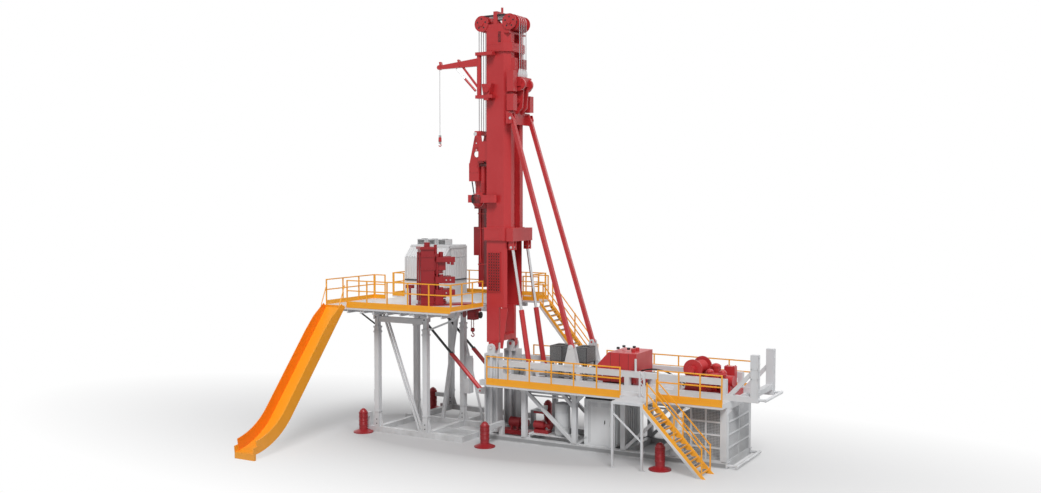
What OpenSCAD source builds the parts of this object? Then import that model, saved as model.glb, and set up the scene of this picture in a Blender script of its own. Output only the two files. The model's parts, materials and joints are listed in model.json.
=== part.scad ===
// Skid-mounted hydraulic drilling rig with a raised drill floor, at real size in millimetres.
// The origin is on the ground below the mast's foot pins, on the rig's centre line.
// +X runs to the tail of the skid, -X to the drill floor, -Y to the side with the slide and the deck stair.

/* [Skid] */
// Front end of the skid, ahead of the mast foot pins
skid_front = 350; // [300:10:420]
// Rear end of the skid, behind the mast foot pins
skid_rear = 11500; // [11300:10:12000]
// Half the width of the skid over its side beams
skid_half = 1600; // [1550:10:1750]
// Height and width of the ground beams
base_beam = 250; // [200:10:280]
// Side of the square posts between the ground beams and the deck
post_side = 220; // [160:10:240]
// Side of the diagonal braces between the posts
brace_side = 140; // [100:10:160]
// Reach of the knee brace ahead of the second cross frame
knee_left = 650; // [500:10:700]
// Reach of the knee brace behind the second cross frame, clear of the cabinet's door
knee_right = 410; // [380:10:420]
// Places of the cross frames, measured from the foot pins
frame_x = [1980, 4510, 6855, 9150, 11375];

/* [Deck] */
// Height of the deck's walking surface
deck_z = 2750; // [2700:10:2850]
// Half the width of the deck over its walkways
deck_half = 2230; // [2150:10:2300]
// Front end of the deck plate
deck_front = 400; // [380:10:440]
// Thickness of the deck plate
deck_plate_t = 40; // [20:5:60]
// Depth of the beams below the deck plate
deck_beam_h = 250; // [200:10:300]
// Depth of the edge channel below the walkways
edge_h = 160; // [100:10:200]

/* [Girders] */
// Half the width over the two girders on the deck
girder_half = 1200; // [1150:10:1250]
// Width of each girder
girder_w = 250; // [200:10:260]
// Height of the girder's lower chord
chord_low_h = 240; // [200:10:260]
// Height of the girder's top above the deck
girder_h = 860; // [800:10:900]
// Height of the girder's upper chord
chord_top_h = 250; // [200:10:280]
// Distance from the girders' top chord to the end of their low chord
chord_top_back = 1350; // [1300:10:1450]
// Rear end of the lower chord
chord_low_rear = 12650; // [12600:10:12800]

/* [Tail] */
// Height of the tail posts above the ground
tail_post_z = 4700; // [4500:10:4900]
// Depth of a tail post along the rig
tail_post_x = 330; // [280:10:360]
// Reach of the tail loop behind the posts
tail_loop = 300; // [280:10:340]

/* [Mast] */
// Height of the mast's foot pins
pin_z = 4150; // [4050:10:4250]
// Diameter of the foot pins
pin_d = 160; // [120:10:180]
// Distance from the foot pins to the mast's front face
mast_front = 430; // [400:10:450]
// Distance from the foot pins to the mast's rear face
mast_rear = 740; // [700:10:780]
// Half the width of the mast
mast_half = 800; // [780:10:830]
// Chamfer of the mast's rear corners
mast_chamfer = 250; // [200:10:280]
// Thickness of the mast's side walls
mast_wall = 120; // [80:10:140]
// Half the width of the channel in the mast's rear face
channel_half = 260; // [200:10:300]
// Depth of the channel in the mast's rear face
channel_depth = 220; // [150:10:260]
// Height at which the legs join the closed section
leg_top_z = 6000; // [5800:10:6200]
// Rear edge of the legs
leg_rear = 230; // [200:10:300]
// Height of the open lower section's top
mast_joint_z = 9050; // [8900:10:9200]
// Height of the collar round the mast
collar_h = 600; // [500:10:700]
// Thickness of the collar
collar_t = 90; // [60:10:120]
// Height of the mast's top
mast_top_z = 18600; // [18400:10:18800]

/* [Crown] */
// Height of the sheave axles above the mast's top
sheave_rise = 520; // [480:10:600]
// Distance of the front axle ahead of the foot pins
sheave_front = 780; // [740:10:800]
// Distance of the rear axle behind the foot pins
sheave_rear = 700; // [680:10:740]
// Outer radius of the sheaves
sheave_r = 370; // [350:5:380]
// Depth of the sheave grooves
groove_depth = 45; // [40:5:50]
// Diameter of the sheave axles
axle_d = 120; // [100:5:140]
// Number of lines
lines = 4; // [3:1:5]
// Spacing of the lines
line_pitch = 200; // [180:5:220]
// Diameter of a hoist line
line_d = 36; // [30:1:38]
// Half the width between the crown's cheek plates
cheek_half = 560; // [540:10:600]

/* [Top drive] */
// Height of the top drive's yoke
yoke_z = 14200; // [14000:10:14400]
// Height of the lower edge of the carriage plates
carriage_z = 12700; // [12600:10:12800]
// Half the width of the carriage
carriage_half = 450; // [430:10:480]
// Height of the underside of the gearbox
gearbox_z = 11850; // [11800:10:11900]
// Height of the lower end of the pipe handler
handler_z = 6850; // [6800:10:6950]

/* [Jib] */
// Distance of the slewing axis ahead of the foot pins
jib_x = 700; // [680:10:740]
// Distance of the slewing axis from the rig's centre line
jib_y = 1010; // [1000:10:1040]
// Distance of the jib post's foot below the mast's top
jib_drop = 2800; // [2700:10:2900]
// Length of the jib post
jib_post_l = 1800; // [1700:10:1850]
// Diameter of the jib post
jib_post_d = 200; // [160:10:220]
// Reach of the boom from the slewing axis
jib_reach = 2000; // [1800:10:2200]
// Turn of the boom at rest, from straight ahead towards the near side
jib_turn = 8; // [0:1:20]
// Height of the underside of the hook
hook_z = 13600; // [13400:10:14000]

/* [Braces and cylinders] */
// Height of the brace pins on the mast
brace_top_z = 14700; // [14500:10:14800]
// Height of the rear lines' anchors above the brace pins
anchor_rise = 1900; // [1800:10:2000]
// Distance of the brace pins behind the foot pins
brace_top_x = 960; // [940:10:1000]
// Distance of the brace pins from the centre line at the mast
brace_top_y = 850; // [840:10:880]
// Distance of the brace feet behind the foot pins
brace_foot_x = 4150; // [4000:10:4300]
// Height of the brace feet
brace_foot_z = 4450; // [4400:10:4500]
// Side of the square brace tube
brace_tube = 180; // [160:10:190]
// Distance of the raising cylinders' feet behind the foot pins
ram_foot_x = 1800; // [1750:10:1900]
// Height of the raising cylinders' feet
ram_foot_z = 3300; // [3250:10:3350]
// Distance of the raising cylinders' heads behind the foot pins
ram_head_x = 900; // [880:10:940]
// Height of the raising cylinders' heads
ram_head_z = 8800; // [8780:10:8820]
// Distance of the raising cylinders from the centre line
ram_y = 700; // [680:10:740]
// Diameter of the raising cylinders
ram_d = 240; // [200:10:260]
// Diameter of the cylinder rods
ram_rod_d = 140; // [120:10:150]

// Distance of the floor raising cylinders' feet ahead of the foot pins
lift_foot_x = 600; // [580:10:640]
// Height of the floor raising cylinders' feet
lift_foot_z = 2100; // [2000:10:2200]
// Distance of the floor raising cylinders' heads ahead of the foot pins
lift_head_x = 4000; // [3900:10:4100]
// Distance of the floor raising cylinders from the centre line
lift_y = 990; // [980:10:995]
// Diameter of the floor raising cylinders
lift_d = 200; // [180:10:210]

/* [Drill floor] */
// Height of the drill floor
floor_z = 6050; // [6000:10:6100]
// Near edge of the drill floor, from the centre line
floor_near = 3950; // [3900:10:4000]
// Far edge of the drill floor, from the centre line
floor_far = 5000; // [4900:10:5100]
// Front edge of the drill floor, ahead of the foot pins
floor_front = 7400; // [7300:10:7450]
// Rear edge of the drill floor, ahead of the foot pins
floor_rear = 380; // [370:10:400]
// Depth of the pipe gate in the front edge
gate_depth = 700; // [600:10:750]
// Near and far side of the pipe gate
gate_y = [-200, 1350];
// Depth of the mast's recess in the rear edge
mast_recess = 350; // [300:10:380]
// Half the width of the mast's recess
recess_half = 1180; // [1170:10:1240]
// Thickness of the floor plate
floor_plate_t = 60; // [40:5:80]
// Depth of the floor beams
floor_beam_h = 350; // [300:10:380]
// Diameter of the well opening
well_d = 760; // [700:10:800]
// Places of the leg rows across the rig
leg_y = [-2700, 500, 3650];
// Places of the leg rows along the rig
leg_x = [-5300, -2550];
// Side of the leg sleeves
leg_side = 250; // [240:10:280]
// Side of the inner legs
leg_inner = 200; // [180:10:220]
// Height of the top of the leg sleeves
sleeve_z = 4950; // [4800:10:5000]

/* [Slide] */
// Width of the slide over its walls
slide_w = 1100; // [1000:10:1160]
// Slope of the slide's straight stretch, in degrees
slide_slope = 50; // [48:1:52]
// Slope of the slide at its foot, in degrees
slide_run_out = 6; // [4:1:8]
// Radius of the slide's lower bend
slide_bend = 3600; // [3400:50:3700]
// Height of the slide's walls
slide_wall_h = 300; // [250:10:320]
// Thickness of the slide's sheet
slide_t = 30; // [20:5:40]

/* [Stairs and railings] */
// Height of the railings
rail_h = 1200; // [1100:10:1300]
// Side of the square railing tube
rail_tube = 50; // [40:5:60]
// Widest spacing of the railing posts
rail_bay = 1250; // [1000:50:1500]
// Height of the toe boards
toe_h = 200; // [150:10:220]
// Thickness of the toe boards
toe_t = 12; // [8:1:16]
// Width of the stairs over their stringers
stair_w = 1060; // [1000:10:1080]
// Thickness of the stair stringers
stringer_t = 60; // [40:5:70]
// Upright depth of the stair stringers
stringer_h = 340; // [300:10:380]
// Depth of a stair tread
tread_depth = 260; // [220:10:280]
// Thickness of a stair tread
tread_t = 40; // [30:5:50]
// Rise from tread to tread
tread_rise = 230; // [200:5:250]
// Front end of the stair landing
landing_x = 7250; // [7200:10:7300]
// Length of the stair landing
landing_l = 1400; // [1350:10:1450]
// Width of the stair landing
landing_w = 1420; // [1400:10:1450]
// Run of the deck stair
deck_stair_run = 2650; // [2600:10:2700]
// Near side of the floor stair
floor_stair_y = 2450; // [2400:10:2500]
// Run of the floor stair
floor_stair_run = 2800; // [2700:10:2900]
// Length of the landing at the head of the floor stair
floor_stair_head = 1000; // [950:10:1050]

/* [Cabin] */
// Front end of the cabin, ahead of the foot pins
cabin_x = 7250; // [7200:10:7260]
// Length of the cabin
cabin_l = 2400; // [2300:10:2500]
// Near side of the cabin
cabin_y = 2300; // [2250:10:2350]
// Width of the cabin
cabin_w = 2100; // [2000:10:2150]
// Height of the cabin's walls
cabin_h = 2450; // [2400:10:2500]
// Thickness of the cabin's walls
cabin_wall = 80; // [60:5:100]
// Cut of the cabin's upper near corner
cabin_slant = 500; // [400:10:600]
// Thickness of the cabin's roof
cabin_roof_t = 120; // [100:10:150]

/* [Machinery] */
// Front end of the equipment cabinet
cabinet_x = 4920; // [4900:10:4960]
// Length of the equipment cabinet
cabinet_l = 1480; // [1400:10:1500]
// Height of the equipment cabinet
cabinet_h = 2030; // [1900:10:2100]
// Thickness of the cabinet's walls
cabinet_wall = 50; // [40:5:60]
// Axis of the winch drum behind the foot pins
drum_x = 9640; // [9600:10:9700]
// Height of the winch drum's axis
drum_z = 3830; // [3800:10:3880]
// Radius of the winch drum's flanges
drum_r = 420; // [400:10:440]
// Half the length of the winch drum
drum_half = 620; // [560:10:640]
// Distance of the jacks from the centre line
jack_y = 3000; // [2950:10:3050]
// Distance of the skid's front jacks behind the foot pins
front_jack_x = 790; // [760:10:820]
// Height of the jacks
jack_h = 1130; // [1050:10:1200]
// Width of the jack feet
jack_foot = 740; // [680:10:745]

/* [Fits] */
// Gap between pieces that seat on each other
fit = 0.3; // [0.2:0.1:0.5]
// Running gap of moving pieces
running = 6; // [5:1:8]
// Room beside the ends of the slanting braces
brace_room = 16; // [12:1:24]

/* [Hidden] */
$fn = 48;
steel_white = [0.84, 0.85, 0.86];
rig_red = [0.62, 0.12, 0.14];
safety_yellow = [0.94, 0.62, 0.12];
dark_grey = [0.24, 0.25, 0.27];
bright_steel = [0.75, 0.76, 0.78];
beam_z = deck_z - deck_plate_t - deck_beam_h;
plate_z = deck_z - deck_plate_t;
girder_in = girder_half - girder_w;
girder_z = deck_z + girder_h;
chord_low_z = deck_z + chord_low_h;
frame_count = len(frame_x);
leg_thick = 200;
foot_pin_d = 90;
sheave_z = mast_top_z + sheave_rise;
chord_top_rear = chord_low_rear - chord_top_back;
jib_low_z = mast_top_z - jib_drop;
jib_top_z = jib_low_z + jib_post_l;
pedestal_in = mast_half - 150;
pedestal_out = mast_half + 350;
line_r = sheave_r - groove_depth + line_d / 2 + running;
well_x = -sheave_front - line_r;
rear_line_x = sheave_rear + line_r;

// Box between its low and its high corner
module block(low, high) {
    translate(low)
        cube(high - low);
}

// Straight bar of rectangular section, w across and h deep, between two points
module bar(from, to, w, h) {
    reach = to - from;
    translate(from)
        rotate([0, -atan2(reach.z, norm([reach.x, reach.y])), atan2(reach.y, reach.x)])
            translate([0, -w / 2, -h / 2])
                cube([norm(reach), w, h]);
}

// Round rod between two points
module rod(from, to, d) {
    reach = to - from;
    translate(from)
        rotate([0, 90 - atan2(reach.z, norm([reach.x, reach.y])), atan2(reach.y, reach.x)])
            cylinder(h = norm(reach), d = d);
}

// Round bar along Y, from y0 to y1
module cross_pin(x, z, d, y0, y1) {
    translate([x, y1, z])
        rotate([90, 0, 0])
            cylinder(h = y1 - y0, d = d);
}

// Plate with an outline in X and Z, from y0 to y1
module side_plate(y0, y1) {
    translate([0, y1, 0])
        rotate([90, 0, 0])
            linear_extrude(y1 - y0)
                children();
}

// Plate with an outline in Y and Z, from x0 to x1
module end_plate(x0, x1) {
    translate([x0, 0, 0])
        rotate([90, 0, 90])
            linear_extrude(x1 - x0)
                children();
}

// The same piece on the near and the far side
module both_sides() {
    children();
    mirror([0, 1, 0])
        children();
}

// Point a share of the way from one point to another
function part_way(from, to, share) = from + (to - from) * share;

// Straight railing between two points of its foot, with posts, two rails and a toe board
module rail_panel(from, to, toe = true) {
    bays = ceil(norm(to - from) / rail_bay);
    along = (to - from) / norm([to.x - from.x, to.y - from.y]);
    half_post = along * rail_tube / 2;
    for (i = [0 : bays]) {
        foot = part_way(from, to, i / bays);
        block(foot - [rail_tube / 2, rail_tube / 2, 0], foot + [rail_tube / 2, rail_tube / 2, rail_h]);
    }
    for (level = [rail_h - rail_tube / 2, (rail_h + toe_h) / 2])
        bar(from + [0, 0, level], to + [0, 0, level], rail_tube, rail_tube);
    if (toe)
        bar(from + [0, 0, toe_h / 2] - half_post, to + [0, 0, toe_h / 2] + half_post, toe_t, toe_h);
}

// Outline of a stair stringer in X and Z, from its head to its foot
module stringer_outline(head, foot) {
    slope = (foot.x - head.x) / (head.z - foot.z);
    polygon([
        [head.x, head.z],
        [head.x, head.z - stringer_h],
        [head.x + (head.z - stringer_h - foot.z) * slope, foot.z],
        [foot.x, foot.z]]);
}

// Two stringers of a stair that runs along X
module stringers(head, foot) {
    for (y = [head.y, head.y + stair_w - stringer_t])
        side_plate(y, y + stringer_t)
            stringer_outline(head, foot);
}

// Treads of a stair that runs along X, each between the stringers
module treads(head, foot) {
    steps = ceil((head.z - foot.z) / tread_rise);
    for (i = [1 : steps - 1]) {
        nose = part_way(head, foot, i / steps);
        block(
            [nose.x - tread_depth, head.y + stringer_t + fit, nose.z - tread_t - 60],
            [nose.x, head.y + stair_w - stringer_t - fit, nose.z - 60]);
    }
}

// Handrails on both stringers of a stair that runs along X
module stair_rails(head, foot) {
    for (y = [head.y + stringer_t / 2, head.y + stair_w - stringer_t / 2]) {
        high = [part_way(head, foot, 0.06).x, y, part_way(head, foot, 0.06).z + fit];
        low = [part_way(head, foot, 0.94).x, y, part_way(head, foot, 0.94).z + fit];
        for (share = [0, 0.5, 1]) {
            foot_point = part_way(high, low, share);
            translate(foot_point)
                rotate([90, 0, 0])
                    translate([0, 0, -rail_tube / 2])
                        linear_extrude(rail_tube)
                            polygon([
                                [-rail_tube / 2, rail_tube / 2 * abs((high.z - low.z) / (low.x - high.x))],
                                [rail_tube / 2, -rail_tube / 2 * abs((high.z - low.z) / (low.x - high.x))],
                                [rail_tube / 2, rail_h - 150],
                                [-rail_tube / 2, rail_h - 150]]);
        }
        for (level = [rail_h - 200, rail_h / 2])
            bar(high + [0, 0, level], low + [0, 0, level], rail_tube - 6, rail_tube - 6);
    }
}

// Ground beams of the skid, with a tow tube behind them
module skid_base() {
    tow_d = 120;
    tow_x = skid_rear + 400;
    tow_y = skid_half - base_beam / 2;
    color(steel_white) {
        for (y = [-tow_y, tow_y])
            rod([skid_rear - 1, y, base_beam / 2], [tow_x, y, base_beam / 2], tow_d);
        cross_pin(tow_x, base_beam / 2, tow_d + 14, -skid_half, skid_half);
        both_sides()
            block([-skid_front, skid_half - base_beam, 0], [skid_rear, skid_half, base_beam]);
        for (x = concat([0], frame_x))
            block(
                [x - base_beam / 2, -skid_half + base_beam + fit, 0],
                [x + base_beam / 2, skid_half - base_beam - fit, base_beam]);
    }
}

module skid_posts() {
    color(steel_white)
        both_sides()
            for (x = frame_x)
                block(
                    [x - post_side / 2, skid_half - post_side, base_beam],
                    [x + post_side / 2, skid_half, beam_z]);
}

// Space between two neighbouring posts, from the ground beams to the deck beams
module bay_space(i) {
    block(
        [frame_x[i] + post_side / 2 + fit, skid_half - post_side, base_beam + fit],
        [frame_x[i + 1] - post_side / 2 - fit, skid_half, beam_z - fit]);
}

module skid_braces() {
    y = skid_half - post_side / 2;
    post = frame_x[1];
    color(steel_white)
        both_sides() {
            intersection() {
                bay_space(0);
                union() {
                    bar([frame_x[0], y, beam_z], [post, y, base_beam], brace_side, brace_side);
                    bar([post, y, beam_z - knee_left], [post - knee_left, y, beam_z], brace_side, brace_side);
                }
            }
            intersection() {
                bay_space(1);
                bar([post, y, beam_z - knee_right], [post + knee_right, y, beam_z], brace_side, brace_side);
            }
            intersection() {
                bay_space(2);
                bar([frame_x[3], y, beam_z], [frame_x[2], y, base_beam], brace_side, brace_side);
            }
        }
}

module deck_beams() {
    color(steel_white) {
        both_sides() {
            block([-skid_front, skid_half - base_beam, beam_z], [skid_rear, skid_half, plate_z]);
            block(
                [-base_beam / 2, pedestal_out + fit, beam_z],
                [base_beam / 2, skid_half - base_beam - fit, plate_z]);
        }
        for (x = frame_x)
            block(
                [x - base_beam / 2, -skid_half + base_beam + fit, beam_z],
                [x + base_beam / 2, skid_half - base_beam - fit, plate_z]);
        block([-base_beam / 2, -pedestal_in + fit, beam_z], [base_beam / 2, pedestal_in - fit, plate_z]);
    }
}

module deck_plate() {
    edge_w = 60;
    color(steel_white) {
        block([deck_front, -deck_half, plate_z], [skid_rear, deck_half, deck_z]);
        both_sides()
            block([deck_front, deck_half - edge_w, plate_z - edge_h], [skid_rear, deck_half, plate_z]);
        both_sides()
            for (x = frame_x)
                side_plate(skid_half + fit, deck_half - edge_w)
                    polygon([
                        [x - base_beam / 2, plate_z], [x - base_beam / 2, plate_z - edge_h],
                        [x + base_beam / 2, plate_z - edge_h], [x + base_beam / 2, plate_z]]);
    }
}

// Heavy H-section post under each foot of the mast, with two lugs that carry the foot pin
module mast_pedestals() {
    flange = 60;
    web = 120;
    lug_t = 100;
    lug_r = 190;
    cap = 80;
    head_z = pin_z - lug_r - cap;
    color(steel_white)
        both_sides() {
            difference() {
                block([-skid_front, pedestal_in, base_beam], [skid_front, pedestal_out, head_z]);
                for (x = [-skid_front + flange, web / 2])
                    for (y = [pedestal_in - flange, (pedestal_in + pedestal_out + web) / 2])
                        block(
                            [x, y, base_beam + cap],
                            [x + skid_front - flange - web / 2, y + (pedestal_out - pedestal_in - web) / 2 + flange,
                                head_z - cap]);
            }
            for (y = [pedestal_in, pedestal_out - lug_t])
                difference() {
                    side_plate(y, y + lug_t)
                        union() {
                            translate([0, pin_z])
                                circle(r = lug_r);
                            translate([-lug_r, head_z])
                                square([2 * lug_r, pin_z - head_z]);
                        }
                    cross_pin(0, pin_z, pin_d + 2 * fit, y - 1, y + lug_t + 1);
                }
            for (y = [lift_y - lift_side - lift_cheek, lift_y + lift_side])
                difference() {
                    side_plate(y, y + lift_cheek)
                        union() {
                            translate([lift_foot.x, lift_foot.z])
                                circle(r = lug_r * 0.7);
                            translate([lift_foot.x, lift_foot.z - lug_r * 0.7])
                                square([lift_foot_x - skid_front + 1, lug_r * 1.4]);
                        }
                    cross_pin(lift_foot.x, lift_foot.z, foot_pin_d + 2 * fit, y - 1, y + lift_cheek + 1);
                }
        }
}

module girders() {
    front = deck_front + 50;
    upright = 220;
    color(steel_white)
        both_sides() {
            block([front, girder_in, deck_z], [chord_low_rear, girder_half, chord_low_z]);
            block([front, girder_in, girder_z - chord_top_h], [chord_top_rear, girder_half, girder_z]);
            for (x = concat([front + upright / 2], frame_x))
                block(
                    [min(x, chord_top_rear - upright / 2) - upright / 2, girder_in, chord_low_z],
                    [min(x, chord_top_rear - upright / 2) + upright / 2, girder_half, girder_z]);
        }
}

// Posts that the lowered mast lies between, their stays, and the tube loop behind them
module tail_frame() {
    stay = 160;
    front = chord_low_rear - tail_post_x;
    tie = 220;
    loop_d = 110;
    loop_z = deck_z + chord_low_h / 2;
    color(steel_white) {
        both_sides() {
            block([front, girder_in, chord_low_z], [chord_low_rear, girder_half, tail_post_z]);
            side_plate(girder_in + (girder_w - stay) / 2, girder_half - (girder_w - stay) / 2)
                polygon([
                    [chord_top_rear + 40, chord_low_z], [chord_top_rear + 40 + stay * 1.6, chord_low_z],
                    [front, girder_z + 200], [front, girder_z + 200 + stay * 1.4]]);
            rod(
                [chord_low_rear + fit, girder_in + girder_w / 2, loop_z],
                [chord_low_rear + tail_loop, girder_in + girder_w / 2, loop_z], loop_d);
        }
        block(
            [front + 40, -girder_in, chord_low_z],
            [chord_low_rear - 40, girder_in, chord_low_z + tie]);
        cross_pin(
            chord_low_rear + tail_loop, loop_z, loop_d + 14,
            -girder_half + girder_w / 2 - loop_d, girder_half - girder_w / 2 + loop_d);
    }
}

hinge_x = cabinet_x + cabinet_wall + running / 2;
hinge_y = -(skid_half - post_side - fit) - 26;
hinge_z = [base_beam + 400, base_beam + cabinet_h - 400];
hinge_pin_d = 20;
knuckle_d = 40;
knuckle_h = 120;
lug_h = 50;

// Walled cabinet across the skid, open on the near side for its door, with hinge pins on lugs
module equipment_cabinet() {
    low = base_beam + fit;
    far = skid_half - post_side - fit;
    rib = 30;
    color(steel_white)
        difference() {
            union() {
                block([cabinet_x, -far, low], [cabinet_x + cabinet_l, far, low + cabinet_h]);
                for (i = [0 : 9])
                    block(
                        [cabinet_x + cabinet_l - 1, -far + 160 + i * (2 * far - 320) / 10, low + 150],
                        [cabinet_x + cabinet_l + rib, -far + 300 + i * (2 * far - 320) / 10,
                            low + cabinet_h - 150]);
            }
            block(
                [cabinet_x + cabinet_wall, -far - 1, low + cabinet_wall],
                [cabinet_x + cabinet_l - cabinet_wall, far - cabinet_wall, low + cabinet_h - cabinet_wall]);
        }
    color(steel_white)
        for (z = hinge_z) {
            translate([hinge_x, hinge_y, z - knuckle_h / 2 - lug_h])
                cylinder(h = knuckle_h + 2 * lug_h, d = hinge_pin_d);
            for (lug_z = [z - knuckle_h / 2 - lug_h, z + knuckle_h / 2 + fit])
                block(
                    [cabinet_x + 8, hinge_y - hinge_pin_d / 2, lug_z],
                    [cabinet_x + cabinet_wall, -far + 1, lug_z + lug_h - fit]);
        }
}

// Door of the cabinet, hinged on its front edge
module cabinet_door() {
    low = base_beam + fit;
    far = skid_half - post_side - fit;
    door_t = 45;
    edge = cabinet_wall + running;
    color(steel_white) {
        difference() {
            union() {
                block(
                    [cabinet_x + edge, -far, low + edge],
                    [cabinet_x + cabinet_l - edge, -far + door_t, low + cabinet_h - edge]);
                for (z = hinge_z) {
                    translate([hinge_x, hinge_y, z - knuckle_h / 2])
                        cylinder(h = knuckle_h, d = knuckle_d);
                    block(
                        [hinge_x + running, hinge_y - knuckle_d / 2 + 4, z - knuckle_h / 2],
                        [hinge_x + 90, -far + 1, z + knuckle_h / 2]);
                }
            }
            for (z = hinge_z)
                translate([hinge_x, hinge_y, z - knuckle_h])
                    cylinder(h = 2 * knuckle_h, d = hinge_pin_d + 2 * fit);
        }
        block(
            [cabinet_x + cabinet_l - 330, -far - 30, low + cabinet_h / 2 - 110],
            [cabinet_x + cabinet_l - 270, -far + 1, low + cabinet_h / 2 + 110]);
    }
}

// Framed guard panels round the tail bay
module tail_cage() {
    frame_t = 70;
    low = base_beam + fit;
    high = beam_z - fit;
    from_x = frame_x[3] + post_side / 2 + fit;
    to_x = frame_x[4] - post_side / 2 - fit;
    end_x = frame_x[4] + post_side / 2;
    end_half = skid_half - post_side - fit;
    color(steel_white) {
        difference() {
            block([end_x - frame_t, -end_half, low], [end_x, end_half, high]);
            for (i = [0 : 1])
                for (k = [0 : 3])
                    block(
                        [end_x - frame_t - 1, -end_half + frame_t + i * (2 * end_half - frame_t) / 2,
                            low + frame_t + k * (high - low - frame_t) / 4],
                        [end_x + 1, -end_half + (i + 1) * (2 * end_half - frame_t) / 2,
                            low + (k + 1) * (high - low - frame_t) / 4]);
        }
        both_sides()
            difference() {
                block([from_x, skid_half - frame_t, low], [to_x, skid_half - fit, high]);
                for (i = [0 : 2])
                    for (k = [0 : 3])
                        block(
                            [from_x + frame_t + i * (to_x - from_x - frame_t) / 3, skid_half - frame_t - 1,
                                low + frame_t + k * (high - low - frame_t) / 4],
                            [from_x + (i + 1) * (to_x - from_x - frame_t) / 3, skid_half + 1,
                                low + (k + 1) * (high - low - frame_t) / 4]);
            }
    }
}

// Closed machine housing inside the tail bay
module power_unit() {
    gap = 200;
    from_x = frame_x[3] + base_beam / 2 + gap;
    to_x = frame_x[4] - base_beam / 2 - gap;
    color(dark_grey) {
        block(
            [from_x, -skid_half + 400, base_beam + 120],
            [to_x, skid_half - 400, beam_z - 350]);
        for (x = [from_x, to_x - 120])
            block([x, -skid_half + base_beam + fit, 0], [x + 120, skid_half - base_beam - fit, base_beam + 120]);
    }
}

// Pump with its drive on the skid's front bay
module skid_pump() {
    y = -pedestal_in + 265;
    x = frame_x[0] - 900;
    axis = base_beam + 420;
    bed_from = base_beam / 2 + fit;
    bed_to = frame_x[0] - base_beam / 2 - fit;
    color(rig_red) {
        block([bed_from, y - 260, base_beam / 2], [bed_to, y + 260, base_beam + 60]);
        rod([x - 450, y, axis], [x + 120, y, axis], 460);
        rod([x + 100, y, axis], [x + 480, y, axis], 300);
        for (dx = [-320, 0, 300])
            block([x + dx - 40, y - 200, base_beam + 50], [x + dx + 40, y + 200, axis]);
        rod([x + 300, y, axis], [x + 300, y, axis + 420], 160);
    }
}

// Two air coolers on the deck, each on four legs, with a round fan opening on top
module coolers() {
    size = 620;
    half = 460;
    leg = 70;
    first = frame_x[0] + 740;
    pitch = 1240;
    lift = 60;
    high = 700;
    color(dark_grey)
        for (x = [first, first + pitch]) {
            difference() {
                block([x, -half, girder_z + lift], [x + size, half, girder_z + lift + high]);
                translate([x + size / 2, 0, girder_z + lift + high - 160])
                    cylinder(h = 200, d = size - 140);
            }
            for (y = [-half, half - leg])
                for (dx = [0, size - leg])
                    block([x + dx, y, deck_z], [x + dx + leg, y + leg, girder_z + lift + 1]);
        }
}

// Machine hood with a sloped front
module power_pack_hood() {
    front = 5330;
    rear = 7180;
    half = 900;
    top = 4330;
    color(rig_red) {
        side_plate(-half, half)
            polygon([[front, deck_z + 300], [rear, deck_z + 300], [rear, top], [front + 520, top], [front, top - 560]]);
        for (x = [front + 200, rear - 400])
            block([x, -half + 100, deck_z], [x + 200, half - 100, deck_z + 301]);
        for (dy = [-250, 150])
            translate([rear - 420, dy, top - 1])
                cylinder(h = 140, d = 200);
    }
}

// Bed, bearings, motor and gearbox of the winch
module winch_frame() {
    bed = 220;
    bearing_t = 110;
    color(rig_red) {
        block([drum_x - 420, -drum_half - 200, deck_z], [drum_x + 1750, drum_half + 200, deck_z + bed]);
        for (y = [-drum_half - running - bearing_t, drum_half + running])
            difference() {
                side_plate(y, y + bearing_t)
                    union() {
                        translate([drum_x, drum_z])
                            circle(d = 300);
                        polygon([
                            [drum_x - 320, deck_z + bed - 1], [drum_x + 320, deck_z + bed - 1],
                            [drum_x + 150, drum_z], [drum_x - 150, drum_z]]);
                    }
                cross_pin(drum_x, drum_z, 140 + 2 * fit, y - 1, y + bearing_t + 1);
            }
        block([drum_x + 560, -420, deck_z + bed - 1], [drum_x + 1000, 420, deck_z + 900]);
        rod([drum_x + 980, -150, deck_z + 640], [drum_x + 1650, -150, deck_z + 640], 460);
        rod([drum_x + 980, 300, deck_z + 500], [drum_x + 1450, 300, deck_z + 500], 280);
        block([drum_x + 1050, -330, deck_z + bed - 1], [drum_x + 1550, 30, deck_z + 500]);
        block([drum_x + 1010, 460, deck_z + bed - 1], [drum_x + 1480, drum_half + 150, deck_z + 1150]);
        for (x = [drum_x + 760, drum_x + 1320])
            translate([x, -600, deck_z + bed - 1])
                cylinder(h = 860, d = 300);
        translate([drum_x + 780, 100, deck_z + 899])
            cylinder(h = 330, d = 400);
    }
}

// Winch drum with its flanges and shaft, turning on the Y axis
module winch_drum() {
    flange_t = 50;
    core = 240;
    color(rig_red)
        translate([drum_x, drum_half, drum_z])
            rotate([90, 0, 0]) {
                cylinder(h = 2 * drum_half, r = core);
                cylinder(h = flange_t, r = drum_r);
                translate([0, 0, 2 * drum_half - flange_t])
                    cylinder(h = flange_t, r = drum_r);
                translate([0, 0, -110])
                    cylinder(h = 2 * drum_half + 220, d = 140);
            }
}

jack_places = [
    [leg_x[0] - 500, -jack_y - 200], [front_jack_x, -jack_y], [frame_x[3], -jack_y],
    [leg_x[0] - 860, leg_y[2] - 460], [front_jack_x, jack_y], [frame_x[3], jack_y]];
jack_sleeve = 430;

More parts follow.
